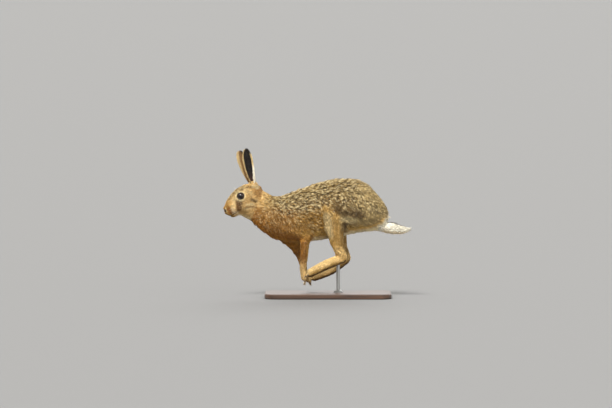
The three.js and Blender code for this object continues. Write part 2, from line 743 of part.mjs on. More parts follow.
// The boxes that hold each piece of flesh with room to spare
const HEAD_BOX = boxOf(-319, -180, -49, 49, 197, 318);
const NECK_BOX = boxOf(-250, -130, -70, 70, 130, 320);
const TORSO_BOX = boxOf(-215, 190, -90, 90, 110, 345);
const TAIL_BOX = boxOf(125, 245, -36, 36, 140, 220);

function makeHead() {
  const shape = fieldSolid(bodyField, HEAD_BOX, CELL.head);
  const core = fieldSolid(bodyField, HEAD_BOX, CELL.head * CORE_CELLS, -MOUTH.depth);
  let head = shape.intersect(sideOfCut(CUTS.headNeck, -1));
  for (const side of sides) head = head.add(lids(side));
  head = head.subtract(mouthSheet().subtract(core)).subtract(cleftSheet().subtract(core));
  for (const side of sides) {
    head = head.subtract(nostril(side)).subtract(ballAt(eyeCentre(side), EYE.radius + GAP));
  }
  return largest(head);
}

function makeEar(ear) {
  const skin = fieldSolid(bodyField, HEAD_BOX, CELL.head, GAP);
  return largest(solidOf(earGeometry(ear)).subtract(skin));
}

function makeNeck() {
  const shape = fieldSolid(bodyField, NECK_BOX, CELL.neck);
  const kept = shape.intersect(sideOfCut(CUTS.headNeck, 1)).intersect(sideOfCut(CUTS.neckTorso, -1));
  const legs = legList.map(({ side, stations, inner }) => legRegion(side, stations, inner, GAP));
  return largest(legs.reduce((whole, leg) => whole.subtract(leg), kept));
}

function makeTorso() {
  let torso = fieldSolid(bodyField, TORSO_BOX, CELL.torso).intersect(sideOfCut(CUTS.neckTorso, 1));
  for (const { side, stations, inner } of legList) {
    torso = torso.subtract(legRegion(side, stations, inner, GAP));
  }
  torso = torso.subtract(blockRegion(TAIL_REGION, TAIL_ROOM, GAP));
  const rodSocket = upright(STAND.rodRadius + GAP, 0, rodTop - hareLift + GAP, STAND.rodX);
  return largest(torso.subtract(rodSocket));
}

function makeTail() {
  return largest(fieldSolid(bodyField, TAIL_BOX, CELL.tail).intersect(blockRegion(TAIL_REGION, TAIL_ROOM)));
}

/** One claw: a short curved cone out of a toe's tip. */
function clawSolid({ tip, forward }, toes) {
  const { radius, tip: point, sink, hook, sides, turns } = CLAW;
  const sections = [];
  const start = tip.clone().addScaledVector(forward, -sink);
  const lift = new THREE.Vector3(0, 0, 1).addScaledVector(forward, -forward.z).normalize();
  const across = new THREE.Vector3().crossVectors(lift, forward);
  for (let n = 0; n <= turns; n++) {
    const share = n / turns;
    const middle = start.clone().addScaledVector(forward, (sink + toes.claw) * share);
    middle.addScaledVector(lift, -hook * share * share);
    const reach = mix(radius, point, share * share);
    const ring = [];
    for (let m = 0; m < sides; m++) {
      const angle = (m / sides) * 2 * Math.PI;
      const corner = middle.clone().addScaledVector(across, reach * Math.cos(angle));
      ring.push(corner.addScaledVector(lift, reach * Math.sin(angle)));
    }
    sections.push(ring);
  }
  return solidOf(new LoftGeometry(sections, { capStart: true, capEnd: true }));
}

/** One leg as three pieces: upper, lower and foot. */
function makeLeg({ side, stations, inner, toes, k, cells, cuts }) {
  const field = legField(side, stations, toes, k);
  const [ball] = stations.slice(-1);
  const toeRoom = [ball[0] - TOE.room.back, ball[1], ball[2] - TOE.room.below, TOE.room.radius];
  const region = legRegion(side, [...stations, toeRoom], inner);
  const pieceIn = (some, cell) => fieldSolid(field, boxAround(side, some, inner.margin + cell), cell);
  const [upperEnd, lowerEnd] = cuts.joints;
  const upper = pieceIn(stations.slice(0, upperEnd + 2), cells[0]).intersect(sideOfCut(cuts.upper, 1));
  const lower = pieceIn(stations.slice(upperEnd - 2, lowerEnd + 2), cells[1])
    .intersect(sideOfCut(cuts.upper, -1))
    .intersect(sideOfCut(cuts.lower, 1));
  let foot = pieceIn([...stations.slice(lowerEnd - 2), toeRoom], cells[2]);
  foot = foot.intersect(sideOfCut(cuts.lower, -1));
  for (const toe of toeChains(side, stations, toes)) foot = foot.add(clawSolid(toe, toes));
  return [upper, lower, foot].map((solid) => largest(solid.intersect(region)));
}

const legList = [
  ["left", LEFT],
  ["right", RIGHT],
].flatMap(([name, side]) => [
  {
    names: [`thigh_${name}`, `lower_leg_${name}`, `hind_foot_${name}`],
    side,
    stations: HIND_LEGS[name],
    inner: INNER_FACE.hind,
    toes: HIND_TOES,
    k: BLEND.hindLeg,
    cells: [CELL.thigh, CELL.lowerLeg, CELL.hindFoot],
    cuts: { upper: CUTS.knee[name], lower: CUTS.hock[name], joints: [2, 7] },
  },
  {
    names: [`shoulder_${name}`, `forearm_${name}`, `forepaw_${name}`],
    side,
    stations: FORE_LEGS[name],
    inner: INNER_FACE.fore,
    toes: FORE_TOES,
    k: BLEND.foreLeg,
    cells: [CELL.shoulder, CELL.forearm, CELL.forepaw],
    cuts: { upper: CUTS.elbow[name], lower: CUTS.wrist[name], joints: [2, 4] },
  },
]);

// Materials

const finish = (color, roughness, metalness = 0) => {
  return new THREE.MeshStandardMaterial({ color, roughness, metalness });
};
const MATERIALS = {
  backCoat: finish(0x8f7448, 0.9),
  warmCoat: finish(0xa9783f, 0.9),
  legCoat: finish(0xb3905a, 0.9),
  earCoat: finish(0x8c6f4b, 0.9),
  tailCoat: finish(0xece4d2, 0.95),
  eye: finish(0x2a1608, 0.08),
  wood: finish(0x5b3f2a, 0.55),
  steel: finish(0x8d9094, 0.3, 1),
};

/** A named mesh of one solid. */
function piece(name, solid, material) {
  const { vertProperties, triVerts } = solid.getMesh();
  const geometry = new THREE.BufferGeometry();
  geometry.setAttribute("position", new THREE.BufferAttribute(vertProperties, 3));
  geometry.setIndex(new THREE.BufferAttribute(triVerts, 1));
  geometry.computeVertexNormals();
  const mesh = new THREE.Mesh(geometry, material);
  mesh.name = name;
  return mesh;
}

// Assembly

const hare = new THREE.Group();
hare.position.set(STAND.hareOffset, 0, hareLift);
hare.add(
  piece("head", makeHead(), MATERIALS.warmCoat),
  piece("neck", makeNeck(), MATERIALS.warmCoat),
  piece("torso", makeTorso(), MATERIALS.backCoat),
  piece("tail", makeTail(), MATERIALS.tailCoat),
  piece("ear_left", makeEar(EARS.left), MATERIALS.earCoat),
  piece("ear_right", makeEar(EARS.right), MATERIALS.earCoat),
  piece("eye_left", ballAt(eyeCentre(LEFT), EYE.radius), MATERIALS.eye),
  piece("eye_right", ballAt(eyeCentre(RIGHT), EYE.radius), MATERIALS.eye),
);
for (const leg of legList) {
  const materials = [MATERIALS.backCoat, MATERIALS.legCoat, MATERIALS.legCoat];
  makeLeg(leg).forEach((solid, n) => hare.add(piece(leg.names[n], solid, materials[n])));
}

const model = new THREE.Group();
model.add(
  hare,
  piece("stand_base", standBase(), MATERIALS.wood),
  piece("stand_rod", standRod(), MATERIALS.steel),
  piece("stand_collar", standCollar(), MATERIALS.steel),
);

export default model;
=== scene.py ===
"""Dresses the brown hare: skin, coat of solid tufts, eyes, claws, whiskers, stand and studio."""

import logging
import math
from collections.abc import Callable
from dataclasses import dataclass
from enum import Enum

import bpy
import numpy as np
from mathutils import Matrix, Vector, noise
from mathutils.bvhtree import BVHTree


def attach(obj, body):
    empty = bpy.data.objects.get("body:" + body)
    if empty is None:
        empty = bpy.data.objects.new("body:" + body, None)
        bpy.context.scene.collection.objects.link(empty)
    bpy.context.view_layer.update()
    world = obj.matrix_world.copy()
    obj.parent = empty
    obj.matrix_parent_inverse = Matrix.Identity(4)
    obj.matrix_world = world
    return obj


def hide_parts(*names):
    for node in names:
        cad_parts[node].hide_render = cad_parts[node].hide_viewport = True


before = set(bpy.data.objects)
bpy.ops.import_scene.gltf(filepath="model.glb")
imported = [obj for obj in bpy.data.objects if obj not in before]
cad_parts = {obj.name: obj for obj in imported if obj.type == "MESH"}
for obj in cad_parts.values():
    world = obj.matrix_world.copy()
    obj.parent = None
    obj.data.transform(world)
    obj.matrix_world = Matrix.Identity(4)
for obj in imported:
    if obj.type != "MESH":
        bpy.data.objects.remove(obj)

log = logging.getLogger("hare")
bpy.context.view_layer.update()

MM = 0.001
ORIGIN = np.array([6.0, 0.0, 18.0])  # the hare's own origin, over the stand's, in millimetres
BODY = "root"
MARKING = "Marking"
BAKE_MAP = "OFBake"
SIDES = {"left": -1, "right": 1}


def to_hare(points: np.ndarray) -> np.ndarray:
    """Turns metres in the row frame into millimetres in the hare's own frame."""
    return np.asarray(points) / MM - ORIGIN


def to_row(points: np.ndarray) -> np.ndarray:
    """Turns millimetres in the hare's own frame into metres in the row frame."""
    return (np.asarray(points) + ORIGIN) * MM


def tone(code: str) -> np.ndarray:
    """Linear colour of a six-figure screen colour."""
    screen = np.array([int(code[i:i + 2], 16) for i in (0, 2, 4)]) / 255
    return np.where(screen <= 0.04045, screen / 12.92, ((screen + 0.055) / 1.055) ** 2.4)


def rise(low: float, high: float, value: np.ndarray) -> np.ndarray:
    """Smooth step from 0 at low to 1 at high, or down where low is above high."""
    share = np.clip((value - low) / (high - low), 0, 1)
    return share * share * (3 - 2 * share)


def unit(vectors: np.ndarray) -> np.ndarray:
    """Vectors brought to length one."""
    return vectors / np.maximum(np.linalg.norm(vectors, axis=-1, keepdims=True), 1e-9)


def paint(base: np.ndarray, colour: np.ndarray, share: np.ndarray) -> np.ndarray:
    """Lays a colour, or one for each point, over others by a share for each point."""
    return base + (colour - base) * np.clip(share, 0, 1)[:, None]


def layers(base: np.ndarray, *coats: tuple) -> np.ndarray:
    """Lays colours over others in turn, each given with its share for each point.

    Args:
        base: the colours below.
        coats: each colour and its share.

    Returns:
        The colours over all the points.
    """
    for colour, share in coats:
        base = paint(base, colour, share)
    return base


def rough(points: np.ndarray, size: float, seed: float = 0.0) -> np.ndarray:
    """Smooth noise, from about -1 to 1, with features of the size given in the points' own unit."""
    return np.array([noise.noise(p) for p in (points / size + seed).tolist()])


def stripe(s: np.ndarray, t: np.ndarray, ends: tuple, radius: float) -> np.ndarray:
    """Share by which points lie in a soft stripe between two points of a plane.

    Args:
        s: first coordinate of the points.
        t: second coordinate of the points.
        ends: the stripe's two ends, four numbers.
        radius: half the stripe's width.

    Returns:
        1 on the stripe's line, falling to 0 at its edge.
    """
    a, b = np.array(ends[:2]), np.array(ends[2:])
    along = np.clip(((s - a[0]) * (b - a)[0] + (t - a[1]) * (b - a)[1]) / ((b - a) @ (b - a)), 0, 1)
    reach = np.hypot(s - a[0] - along * (b - a)[0], t - a[1] - along * (b - a)[1])
    return rise(radius, radius * 0.35, reach)


def deselect() -> None:
    """Leaves nothing selected, so that an operator acts on the new piece alone."""
    if bpy.context.mode != "OBJECT":
        bpy.ops.object.mode_set(mode="OBJECT")
    bpy.ops.object.select_all(action="DESELECT")


def select(obj: bpy.types.Object) -> None:
    """Selects one object alone and makes it active.

    Args:
        obj: the object.
    """
    deselect()
    obj.select_set(True)
    bpy.context.view_layer.objects.active = obj


def edit(obj: bpy.types.Object, act: Callable[[], set], chosen: np.ndarray | None = None) -> None:
    """Runs an edit-mode operator on a piece.

    Args:
        obj: the piece.
        act: the operator.
        chosen: which of its points are selected, or None for all of them.
    """
    select(obj)
    bpy.ops.object.mode_set(mode="EDIT")
    bpy.ops.mesh.select_mode(type="VERT")
    bpy.ops.mesh.select_all(action="SELECT" if chosen is None else "DESELECT")
    if chosen is not None:
        bpy.ops.object.mode_set(mode="OBJECT")
        obj.data.vertices.foreach_set("select", chosen)
        bpy.ops.object.mode_set(mode="EDIT")
    act()
    bpy.ops.object.mode_set(mode="OBJECT")


def recalculate(obj: bpy.types.Object) -> None:
    """Turns a closed piece's faces outwards."""
    edit(obj, lambda: bpy.ops.mesh.normals_make_consistent(inside=False))


def read_rows(items: bpy.types.bpy_prop_collection, key: str, wide: int = 3) -> np.ndarray:
    """Reads one property of a mesh's points, edges or corners, a row for each.

    Args:
        items: the mesh's points, edges, triangles or corners.
        key: the property.
        wide: how many numbers each has.

    Returns:
        A row for each item.
    """
    whole = key in ("vertices", "loops")
    flat = np.zeros(len(items) * wide, np.int32 if whole else np.float32)
    items.foreach_get(key, flat)
    return flat.reshape(-1, wide).astype(int if whole else float)


def mesh_piece(name: str, points: np.ndarray, faces: np.ndarray) -> bpy.types.Object:
    """Makes a smooth shaded object from arrays.

    Args:
        name: the piece's name.
        points: corners in metres, one row each.
        faces: corner numbers, three to a row.

    Returns:
        The new object, at the origin.
    """
    mesh = bpy.data.meshes.new(name)
    count, corners = faces.shape
    mesh.vertices.add(len(points))
    mesh.vertices.foreach_set("co", points.astype(np.float32).ravel())
    mesh.loops.add(count * corners)
    mesh.loops.foreach_set("vertex_index", faces.astype(np.int32).ravel())
    mesh.polygons.add(count)
    mesh.polygons.foreach_set("loop_start", np.arange(0, count * corners, corners, dtype=np.int32))
    mesh.polygons.foreach_set("use_smooth", np.ones(count, bool))
    mesh.update(calc_edges=True)
    obj = bpy.data.objects.new(name, mesh)
    bpy.context.scene.collection.objects.link(obj)
    return obj


def set_marking(obj: bpy.types.Object, colours: np.ndarray) -> None:
    """Stores one linear colour for each corner point of a mesh.

    Args:
        obj: the piece.
        colours: a row for each of its points.
    """
    layer = obj.data.color_attributes.new(MARKING, "FLOAT_COLOR", "POINT")
    full = np.ones((len(colours), 4), np.float32)
    full[:, :3] = np.clip(colours, 0, 1)
    layer.data.foreach_set("color", full.ravel())


def tube(path: np.ndarray, radii: np.ndarray, sides: int,
         closed: bool = False) -> tuple[np.ndarray, np.ndarray]:
    """Sweeps a round section along a path.

    Args:
        path: points of the centre line.
        radii: radius at each point.
        sides: corners of the section.
        closed: whether the path returns to its start.

    Returns:
        The tube's points and its triangles, with both ends closed on an open path.
    """
    count = len(path)
    way = unit(np.roll(path, -1, 0) - np.roll(path, 1, 0)) if closed else unit(np.gradient(path, axis=0))
    up = np.tile([0.0, 0.0, 1.0], (count, 1))
    up[np.abs(way[:, 2]) > 0.95] = (1.0, 0.0, 0.0)
    across = unit(np.cross(up, way))
    for i in range(1, count):
        flat = across[i - 1] - way[i] * (across[i - 1] @ way[i])
        across[i] = flat / max(np.linalg.norm(flat), 1e-9)
    lift = np.cross(way, across)
    turn = np.arange(sides) / sides * 2 * math.pi
    ring = across[:, None] * np.cos(turn)[None, :, None] + lift[:, None] * np.sin(turn)[None, :, None]
    points = (path[:, None] + ring * radii[:, None, None]).reshape(-1, 3)
    faces = []
    for i in range(count if closed else count - 1):
        for j in range(sides):
            a, b = i * sides + j, i * sides + (j + 1) % sides
            c, d = (a + sides) % len(points), (b + sides) % len(points)
            faces += [(a, b, d), (a, d, c)]
    if not closed:
        last = (count - 1) * sides
        faces += [(0, j + 1, j) for j in range(1, sides - 1)]
        faces += [(last, last + j, last + j + 1) for j in range(1, sides - 1)]
    return points, np.array(faces)


# Frames of the head and the ears


@dataclass(frozen=True)
class HeadFrame:
    """The head's own frame: s from the eyes to the nose, t up through the crown, out to the hare's right."""

    eyes: tuple = (-255.4, 0.0, 272.2)
    tilt: float = 35
    yaw: float = 5
    pivot: float = -205

    def axes(self) -> np.ndarray:
        """The three axes as rows, in the hare's frame.

        Returns:
            Rows for s, t and out.
        """
        tilt, yaw = math.radians(self.tilt), math.radians(self.yaw)
        rows = np.array([
            [-math.cos(tilt), 0, -math.sin(tilt)],
            [-math.sin(tilt), 0, math.cos(tilt)],
            [0, 1, 0],
        ])
        turn = np.array([[math.cos(yaw), -math.sin(yaw), 0], [math.sin(yaw), math.cos(yaw), 0], [0, 0, 1]])
        return rows @ turn.T

    def origin(self) -> np.ndarray:
        """The middle between the eyes, in the hare's frame.

        Returns:
            The place in millimetres.
        """
        yaw = math.radians(self.yaw)
        reach = self.eyes[0] - self.pivot
        return np.array([self.pivot + reach * math.cos(yaw), reach * math.sin(yaw), self.eyes[2]])

    def place(self, s: float, t: float, out: float) -> np.ndarray:
        """A point of the head in the hare's frame."""
        return self.origin() + np.array([s, t, out]) @ self.axes()

    def local(self, points: np.ndarray) -> np.ndarray:
        """Points of the hare's frame in the head's frame."""
        return (points - self.origin()) @ self.axes().T


@dataclass(frozen=True)
class EyeSize:
    """Size and place of the two eyes in the head's frame, in millimetres."""

    radius: float = 9.8
    out: float = 18.6
    ahead: float = 0.13
    above: float = 0.1
    open_along: float = 0.9  # half the lids' opening, as shares of the radius
    open_up: float = 0.83

    def centre(self, head: HeadFrame, side: int) -> np.ndarray:
        """The ball's centre in the hare's frame."""
        return head.place(0, 0, side * self.out)

    def basis(self, head: HeadFrame, side: int) -> np.ndarray:
        """The eye's gaze and the ways to its front corner and its upper lid, as rows in the hare's frame.

        Args:
            head: the head's frame.
            side: -1 for the left eye, 1 for the right.

        Returns:
            Three rows of length one.
        """
        axes = head.axes()
        gaze = unit(np.array([self.ahead, self.above, side]) @ axes)
        front = unit(axes[0] - gaze * (axes[0] @ gaze))
        upper = np.cross(gaze, front)
        return np.array([gaze, front, upper if upper @ axes[1] > 0 else -upper])


@dataclass(frozen=True)
class EarFrame:
    """One ear: its axis, the way its cup opens, and how its wall wraps, as in the frame's solids."""

    root: tuple
    tip: tuple
    opening: tuple
    sections: tuple = (
        (0, 7.5, 165), (0.12, 8.2, 158), (0.24, 9.3, 142), (0.36, 11, 120), (0.48, 12.8, 104), (0.6, 14, 92),
        (0.72, 14.6, 84), (0.82, 14.5, 78), (0.9, 12.9, 74), (0.96, 10, 72), (1, 5.4, 70),
    )
    sink: float = 7.8  # how far the cup starts below the root
    rim: tuple = (16, 22)  # degrees of the wall that its pale front and rear edges take
    band: tuple = (14, 75)  # and how far those edges show on the outside
    taper: tuple = (14, 46)  # how much wider they grow towards the root
    dark_front: bool = True  # whether the black tip reaches the front edge

    def axes(self) -> tuple[np.ndarray, np.ndarray, np.ndarray]:
        """The ear's axis, the way it opens and the way across, all of length one.

        Returns:
            The three ways in the hare's frame.
        """
        axis = unit(np.subtract(self.tip, self.root))
        opening = np.array(self.opening, float)
        opening = unit(opening - axis * (opening @ axis))
        return axis, opening, np.cross(axis, opening)

    def read(self, points: np.ndarray, normals: np.ndarray) -> dict[str, np.ndarray]:
        """Where points lie on the ear.

        Args:
            points: places in the hare's frame.
            normals: the surface's way out at each.

        Returns:
            share along the ear, front and rear, 1 on that edge of the wall, inner, 1 inside the cup, and
            side, from -1 at the front to 1 at the rear.
        """
        axis, opening, across = self.axes()
        foot = np.array(self.root) - axis * self.sink
        reach = points - foot
        share = reach @ axis / np.linalg.norm(self.tip - foot)
        table = np.array(self.sections)
        radius, wrap = (np.interp(share, table[:, 0], table[:, k]) for k in (1, 2))
        turn = np.radians(wrap)
        reach = reach - opening * (radius * np.sin(turn) / turn)[:, None]
        angle = np.degrees(np.arctan2(reach @ across, -(reach @ opening)))
        radial = unit((reach @ across)[:, None] * across + (reach @ opening)[:, None] * opening)
        inner = rise(0.15, -0.25, np.sum(normals * radial, 1))
        side = np.sign(angle) * np.sign(across[0])
        edge = (side > 0).astype(int)
        outside, inside, more = (np.array(pair, float)[edge] for pair in (self.band, self.rim, self.taper))
        reach_in = outside + (inside + more * rise(0.36, 0.06, share) - outside) * inner
        rim = rise(wrap - reach_in, wrap - reach_in * 0.5, np.abs(angle))
        return {"share": share, "front": rim * (side < 0), "rear": rim * (side > 0), "inner": inner,
                "side": side * np.abs(angle) / wrap}


HEAD = HeadFrame()
EYE = EyeSize()
EARS = {
    "ear_left": EarFrame((-216.5, -15, 297), (-238, -25, 404), (-0.3, -0.95, 0)),
    "ear_right": EarFrame(
        (-219, 15, 297.5), (-258, 33, 396), (-0.25, 0.97, 0), band=(60, 30), dark_front=False,
    ),
}


# The coat's zones: one for each node of flesh


@dataclass(frozen=True)
class Zone:
    """How the coat lies on one node of flesh. Lengths are in millimetres."""

    lie: tuple  # the way that the hair points
    depth: float  # from the flesh's surface down to the skin
    length: float
    width: float
    lift: float  # degrees out of the skin
    cover: float  # how many layers of tufts lie over any spot
    slot: str
    calm: float = 1.0  # how far the skin is smoothed


def leg_zones(side: str, foot: tuple, paw: tuple) -> dict[str, Zone]:
    """Zones of one side's two legs, given the ways that its hind foot and its forepaw point.

    Args:
        side: left or right.
        foot: the way that the hind foot points.
        paw: the way that the forepaw points.

    Returns:
        The zones by the names of their nodes.
    """
    return {
        f"thigh_{side}": Zone((0.62, 0, -0.78), 4.5, 13, 1.5, 13, 4.6, "coat_back"),
        f"lower_leg_{side}": Zone((0.12, 0, -1), 2.6, 9, 1.1, 10, 4, "coat_leg"),
        f"hind_foot_{side}": Zone(foot, 2, 7.5, 0.95, 8, 3.6, "coat_leg"),
        f"shoulder_{side}": Zone((0.5, 0, -0.86), 3.6, 11, 1.35, 12, 4.4, "coat_warm"),
        f"forearm_{side}": Zone((0.02, 0, -1), 2, 7.5, 0.95, 8, 3.6, "coat_leg"),
        f"forepaw_{side}": Zone(paw, 1.8, 6, 0.85, 8, 3.4, "coat_leg"),
    }


ZONES: dict[str, Zone] = {
    "head": Zone((0.92, 0, 0.28), 1.7, 5.2, 0.7, 9, 3.4, "coat_warm", 0.25),
    "neck": Zone((0.93, 0, -0.3), 3.2, 13, 1.4, 15, 4.6, "coat_warm"),
    "torso": Zone((0.96, 0, -0.26), 5, 15, 1.6, 17, 5, "coat_back"),
    "tail": Zone((1, 0, -0.14), 1.0, 13, 1.3, 12, 5.6, "coat_white"),
    "ear_left": Zone((-0.18, -0.09, 0.98), 0.2, 5, 0.75, 7, 3.2, "coat_ear", 0.2),
    "ear_right": Zone((-0.33, 0.17, 0.93), 0.2, 5, 0.75, 7, 3.2, "coat_ear", 0.2),
    **leg_zones("left", (-0.88, 0, -0.42), (0.05, 0, -1)),
    **leg_zones("right", (-0.82, 0, -0.5), (-0.35, 0, -0.93)),
}
FLESH = list(ZONES)


# Markings shared by the skin and the coat


class Hues:
    """The coat's colours."""

    # black of the ear tips, the tail's top and hair tips, also laid as painted shade in the nostrils
    black = tone("1e150c")
    dark = tone("3a2a16")
    cream = tone("e8d3a0")
    back = tone("9e8046")
    saddle = tone("9c783c")
    flank = tone("ab7c2a")
    # pale buff of the lower flank, also laid as painted light on a foreleg's rear
    flank_pale = tone("d8ac58")
    belly = tone("ecd9ac")
    # the chest's own rufous, also laid as painted shade along its lower edge
    chest = tone("ae7226")
    shoulder = tone("b07c32")
    # the nape's own pale rufous, brightened as a painted highlight of the light along its top
    nape_and_highlight = tone("dfb46a")
    rump = tone("c6aa70")
    # dark brown: the thigh's own darker hair, also laid as painted shade under the head, along the thigh's
    # lower edge and on a hind leg's rear
    haunch = tone("5f4115")
    knee = tone("c39a52")
    leg = tone("c79c50")
    foreleg = tone("a87022")
    # the feet's pale gold, also laid as painted shade on the tail's underside
    foot = tone("f2d08e")
    sole = tone("5e401f")
    white = tone("f4ecd8")
    cheek = tone("c6a062")
    crown = tone("9c8050")
    muzzle = tone("9a7438")
    russet = tone("7c4a18")
    stripe = tone("613e18")
    # near black: the ear's cup, partly its own skin and partly painted shade, the lids' dark margins, and
    # painted shade in the mouth's crease
    ear_dark = tone("150b05")
    ear_back = tone("6b4a20")
    ear_pale = tone("cfb47e")
    skin = tone("8a5a48")


@dataclass
class Markings:
    """The markings as a function of place: a ground colour, and how dark or pale its mottling is."""

    # x, height of the back and height of the belly along the trunk
    outline: tuple = (
        (-246, 286, 222), (-211, 291, 188), (-168, 271, 151), (-114, 282, 139), (-43, 307, 142),
        (28, 320, 155), (86, 316, 166), (131, 280, 175), (162, 233, 211),
    )
    curl: float = 5.0  # size of the dark and pale curls on the back
    speck: float = 2.4  # size of the specks that break them up
    lock: float = 4.2  # width of the lighter and darker locks that run with the coat

    def height(self, p: np.ndarray) -> np.ndarray:
        """Share of the trunk's height at which each point lies.

        Args:
            p: places in the hare's frame.

        Returns:
            0 at the belly and 1 at the back.
        """
        rows = np.array(self.outline, float)
        top, low = np.interp(p[:, 0], rows[:, 0], rows[:, 1]), np.interp(p[:, 0], rows[:, 0], rows[:, 2])
        return (p[:, 2] - low) / (top - low)

    def trunk(self, p: np.ndarray, broad: np.ndarray) -> tuple[np.ndarray, np.ndarray]:
        """Ground colour and strength of the mottling on the trunk and neck.

        Args:
            p: places in the hare's frame.
            broad: slow noise at each place.

        Returns:
            The ground colour and the strength of the mottling at each place.
        """
        h = self.height(p) + broad * 0.05
        x, z = p[:, 0], p[:, 2]
        under_tail = rise(132, 142, x) * rise(194, 184, z)
        ground = layers(
            Hues.flank_pale,
            (Hues.flank, rise(0.08, 0.26, h)),
            (Hues.saddle, rise(0.36, 0.62, h)),
            (Hues.back, rise(0.6, 0.85, h)),
            (Hues.shoulder, rise(-75, -120, x) * rise(0.86, 0.5, h)),
            (Hues.chest, rise(-125, -170, x) * rise(0.46, 0.16, h)),
            # painted shade along the chest's lower edge, where the forelegs meet it
            (Hues.chest, 0.8 * stripe(x, z, (-175, 164, -84, 150), 12)),
            (Hues.belly, rise(0.16, 0.06, h) * rise(30, 18, np.abs(p[:, 1])) * rise(-95, -60, x)),
            # nape colour: partly its own, partly a painted highlight along its top
            (Hues.nape_and_highlight, rise(-155, -190, x) * rise(0.5, 0.78, h)),
            # painted shade on the chest under the head
            (Hues.haunch, 0.5 * rise(-205, -226, x) * rise(0.34, 0.08, h)),
            (Hues.rump, rise(20, 110, x) * rise(0.05, 0.3, h)),
            (Hues.white, under_tail),
        )
        mottle = rise(0.34, 0.66, h) * rise(-185, -130, x) * (1 - 0.45 * rise(55, 120, x))
        return ground, np.maximum(mottle, 0.5 * rise(0.05, 0.2, h)) * (1 - under_tail)

    def haunch(self, p: np.ndarray, broad: np.ndarray) -> tuple[np.ndarray, np.ndarray]:
        """Ground colour and mottling on the thigh: mottled above, pale in front, and darker in its hollow
        and along its lower edge, partly its own brown and partly painted shadow.

        Args:
            p: places in the hare's frame.
            broad: slow noise at each place.

        Returns:
            The ground colour and the strength of the mottling at each place.
        """
        x, z = p[:, 0], p[:, 2] + broad * 6
        # the upper band is partly the haunch's own darker brown and partly painted shadow between knee and
        # rump; the lower band is painted shadow along the thigh's lower edge
        band = np.maximum(stripe(x, z, (20, 238, 86, 218), 20), stripe(x, z, (42, 190, 66, 185), 14))
        ground = layers(
            Hues.rump,
            (Hues.knee, rise(44, 20, x + (z - 190) * 0.12) * rise(262, 236, z)),
            (Hues.leg, rise(178, 158, z)),
            (Hues.haunch, 0.85 * band),
            (Hues.cream, 0.6 * stripe(x, z, (36, 209, 70, 202), 10)),
            (Hues.haunch, 0.55 * stripe(x, z, (36, 176, 34, 120), 10)),
            (Hues.cream, 0.6 * stripe(x, z, (-10, 212, -5, 162), 19)),
        )
        return ground, (0.25 + 0.75 * rise(212, 242, z) * rise(14, 40, x)) * (1 - 0.6 * band)

    def leg(self, p: np.ndarray, n: np.ndarray, name: str, broad: np.ndarray) -> np.ndarray:
        """Ground colour of a lower leg or foot: paler towards the foot, with a hairy brown sole, painted
        shade on a foreleg's front and a hind leg's rear, and painted light on a foreleg's rear.

        Args:
            p: places in the hare's frame.
            n: the surface's way out at each.
            name: the node.
            broad: slow noise at each place.

        Returns:
            A colour for each place.
        """
        if "foot" in name:
            return layers(
                Hues.leg,
                (Hues.foot, rise(-0.5, 0.3, n[:, 2] + broad * 0.3) * (1 - 0.4 * rise(84, 108, p[:, 2]))),
                (Hues.sole, 0.95 * rise(0.45, 0.8, n @ unit(np.array([0.42, 0.0, -0.9])))),
            )
        z, behind = p[:, 2], n[:, 0] + broad * 0.3
        if name.startswith("fore"):
            pad = rise(0.5, 0.85, n @ unit(np.array([0.8, 0.0, -0.6])))
            return layers(
                Hues.foreleg,
                # painted shade on the foreleg's front and painted light on its rear
                (Hues.chest, 0.8 * rise(-0.2, -0.85, behind) * rise(70, 110, z)),
                (Hues.flank_pale, 0.7 * rise(0.2, 0.85, behind)),
                (Hues.foot, 0.85 * rise(98, 52, z + broad * 8)),
                (Hues.sole, 0.6 * pad * ("paw" in name)),
            )
        return layers(
            Hues.leg,
            (Hues.foot, 0.7 * rise(144, 106, z)),
            (Hues.flank, 0.5 * rise(0.0, -0.8, behind) * rise(118, 136, z)),
            # painted shade on the hind leg's rear
            (Hues.haunch, 0.5 * rise(0.45, 0.9, behind)),
        )

    def head(self, p: np.ndarray) -> tuple[np.ndarray, np.ndarray]:
        """Ground colour of the face, and the strength of its fine mottling.

        Args:
            p: places in the hare's frame.

        Returns:
            The ground colour and the strength of the mottling at each place.
        """
        s, t, out = (HEAD.local(p) + np.stack([rough(p, 8, k) for k in (61.0, 67.0, 0.0)], 1) * (3, 3, 0)).T
        ground = layers(
            Hues.cheek,
            (Hues.crown, rise(6, 16, t + np.clip(-s, 0, 60) * 0.1)),
            # nape colour at the head's rear: partly its own, partly a painted highlight
            (Hues.nape_and_highlight, rise(-16, -36, s) * rise(-14, 4, t)),
            (Hues.shoulder, 0.8 * rise(-28, -44, s) * rise(4, -10, t)),
            (Hues.belly, 0.6 * rise(-34, -41, t) * rise(-14, 4, s) * rise(12, 6, np.abs(out))),
            (Hues.muzzle, rise(34, 50, s)),
        )
        marks = (
            (Hues.cream, (22, 3, 37, -17), 8, 0.5),
            (Hues.stripe, (12, -9, 25, -27), 12.5, 0.95),
            (Hues.ear_back, (-31, 10, -39, 3), 7, 0.7),
            (Hues.cream, (-45, 4, -54, -8), 8, 0.6),
            (Hues.ear_pale, (-18, 5, -27, -6), 9, 0.7),
            (Hues.cheek, (-19, -10, -22, -20), 7, 0.7),
            (Hues.haunch, (-19, -27, -26, -36), 6.5, 0.9),
            (Hues.cream, (1, -29, -15, -41), 4.5, 0.65),
            (Hues.stripe, (6, -36, -14, -48), 4.5, 0.45),
            (Hues.cream, (14, -37, -2, -46), 4, 0.35),
            (Hues.russet, (48, -10, 50, -22), 8, 0.85),
            (Hues.cream, (55, -4, 58, -14), 3, 0.6),
        )
        aside = rise(3, 7, np.abs(out) - 6 * rise(42, 12, s))
        for colour, ends, radius, share in marks:
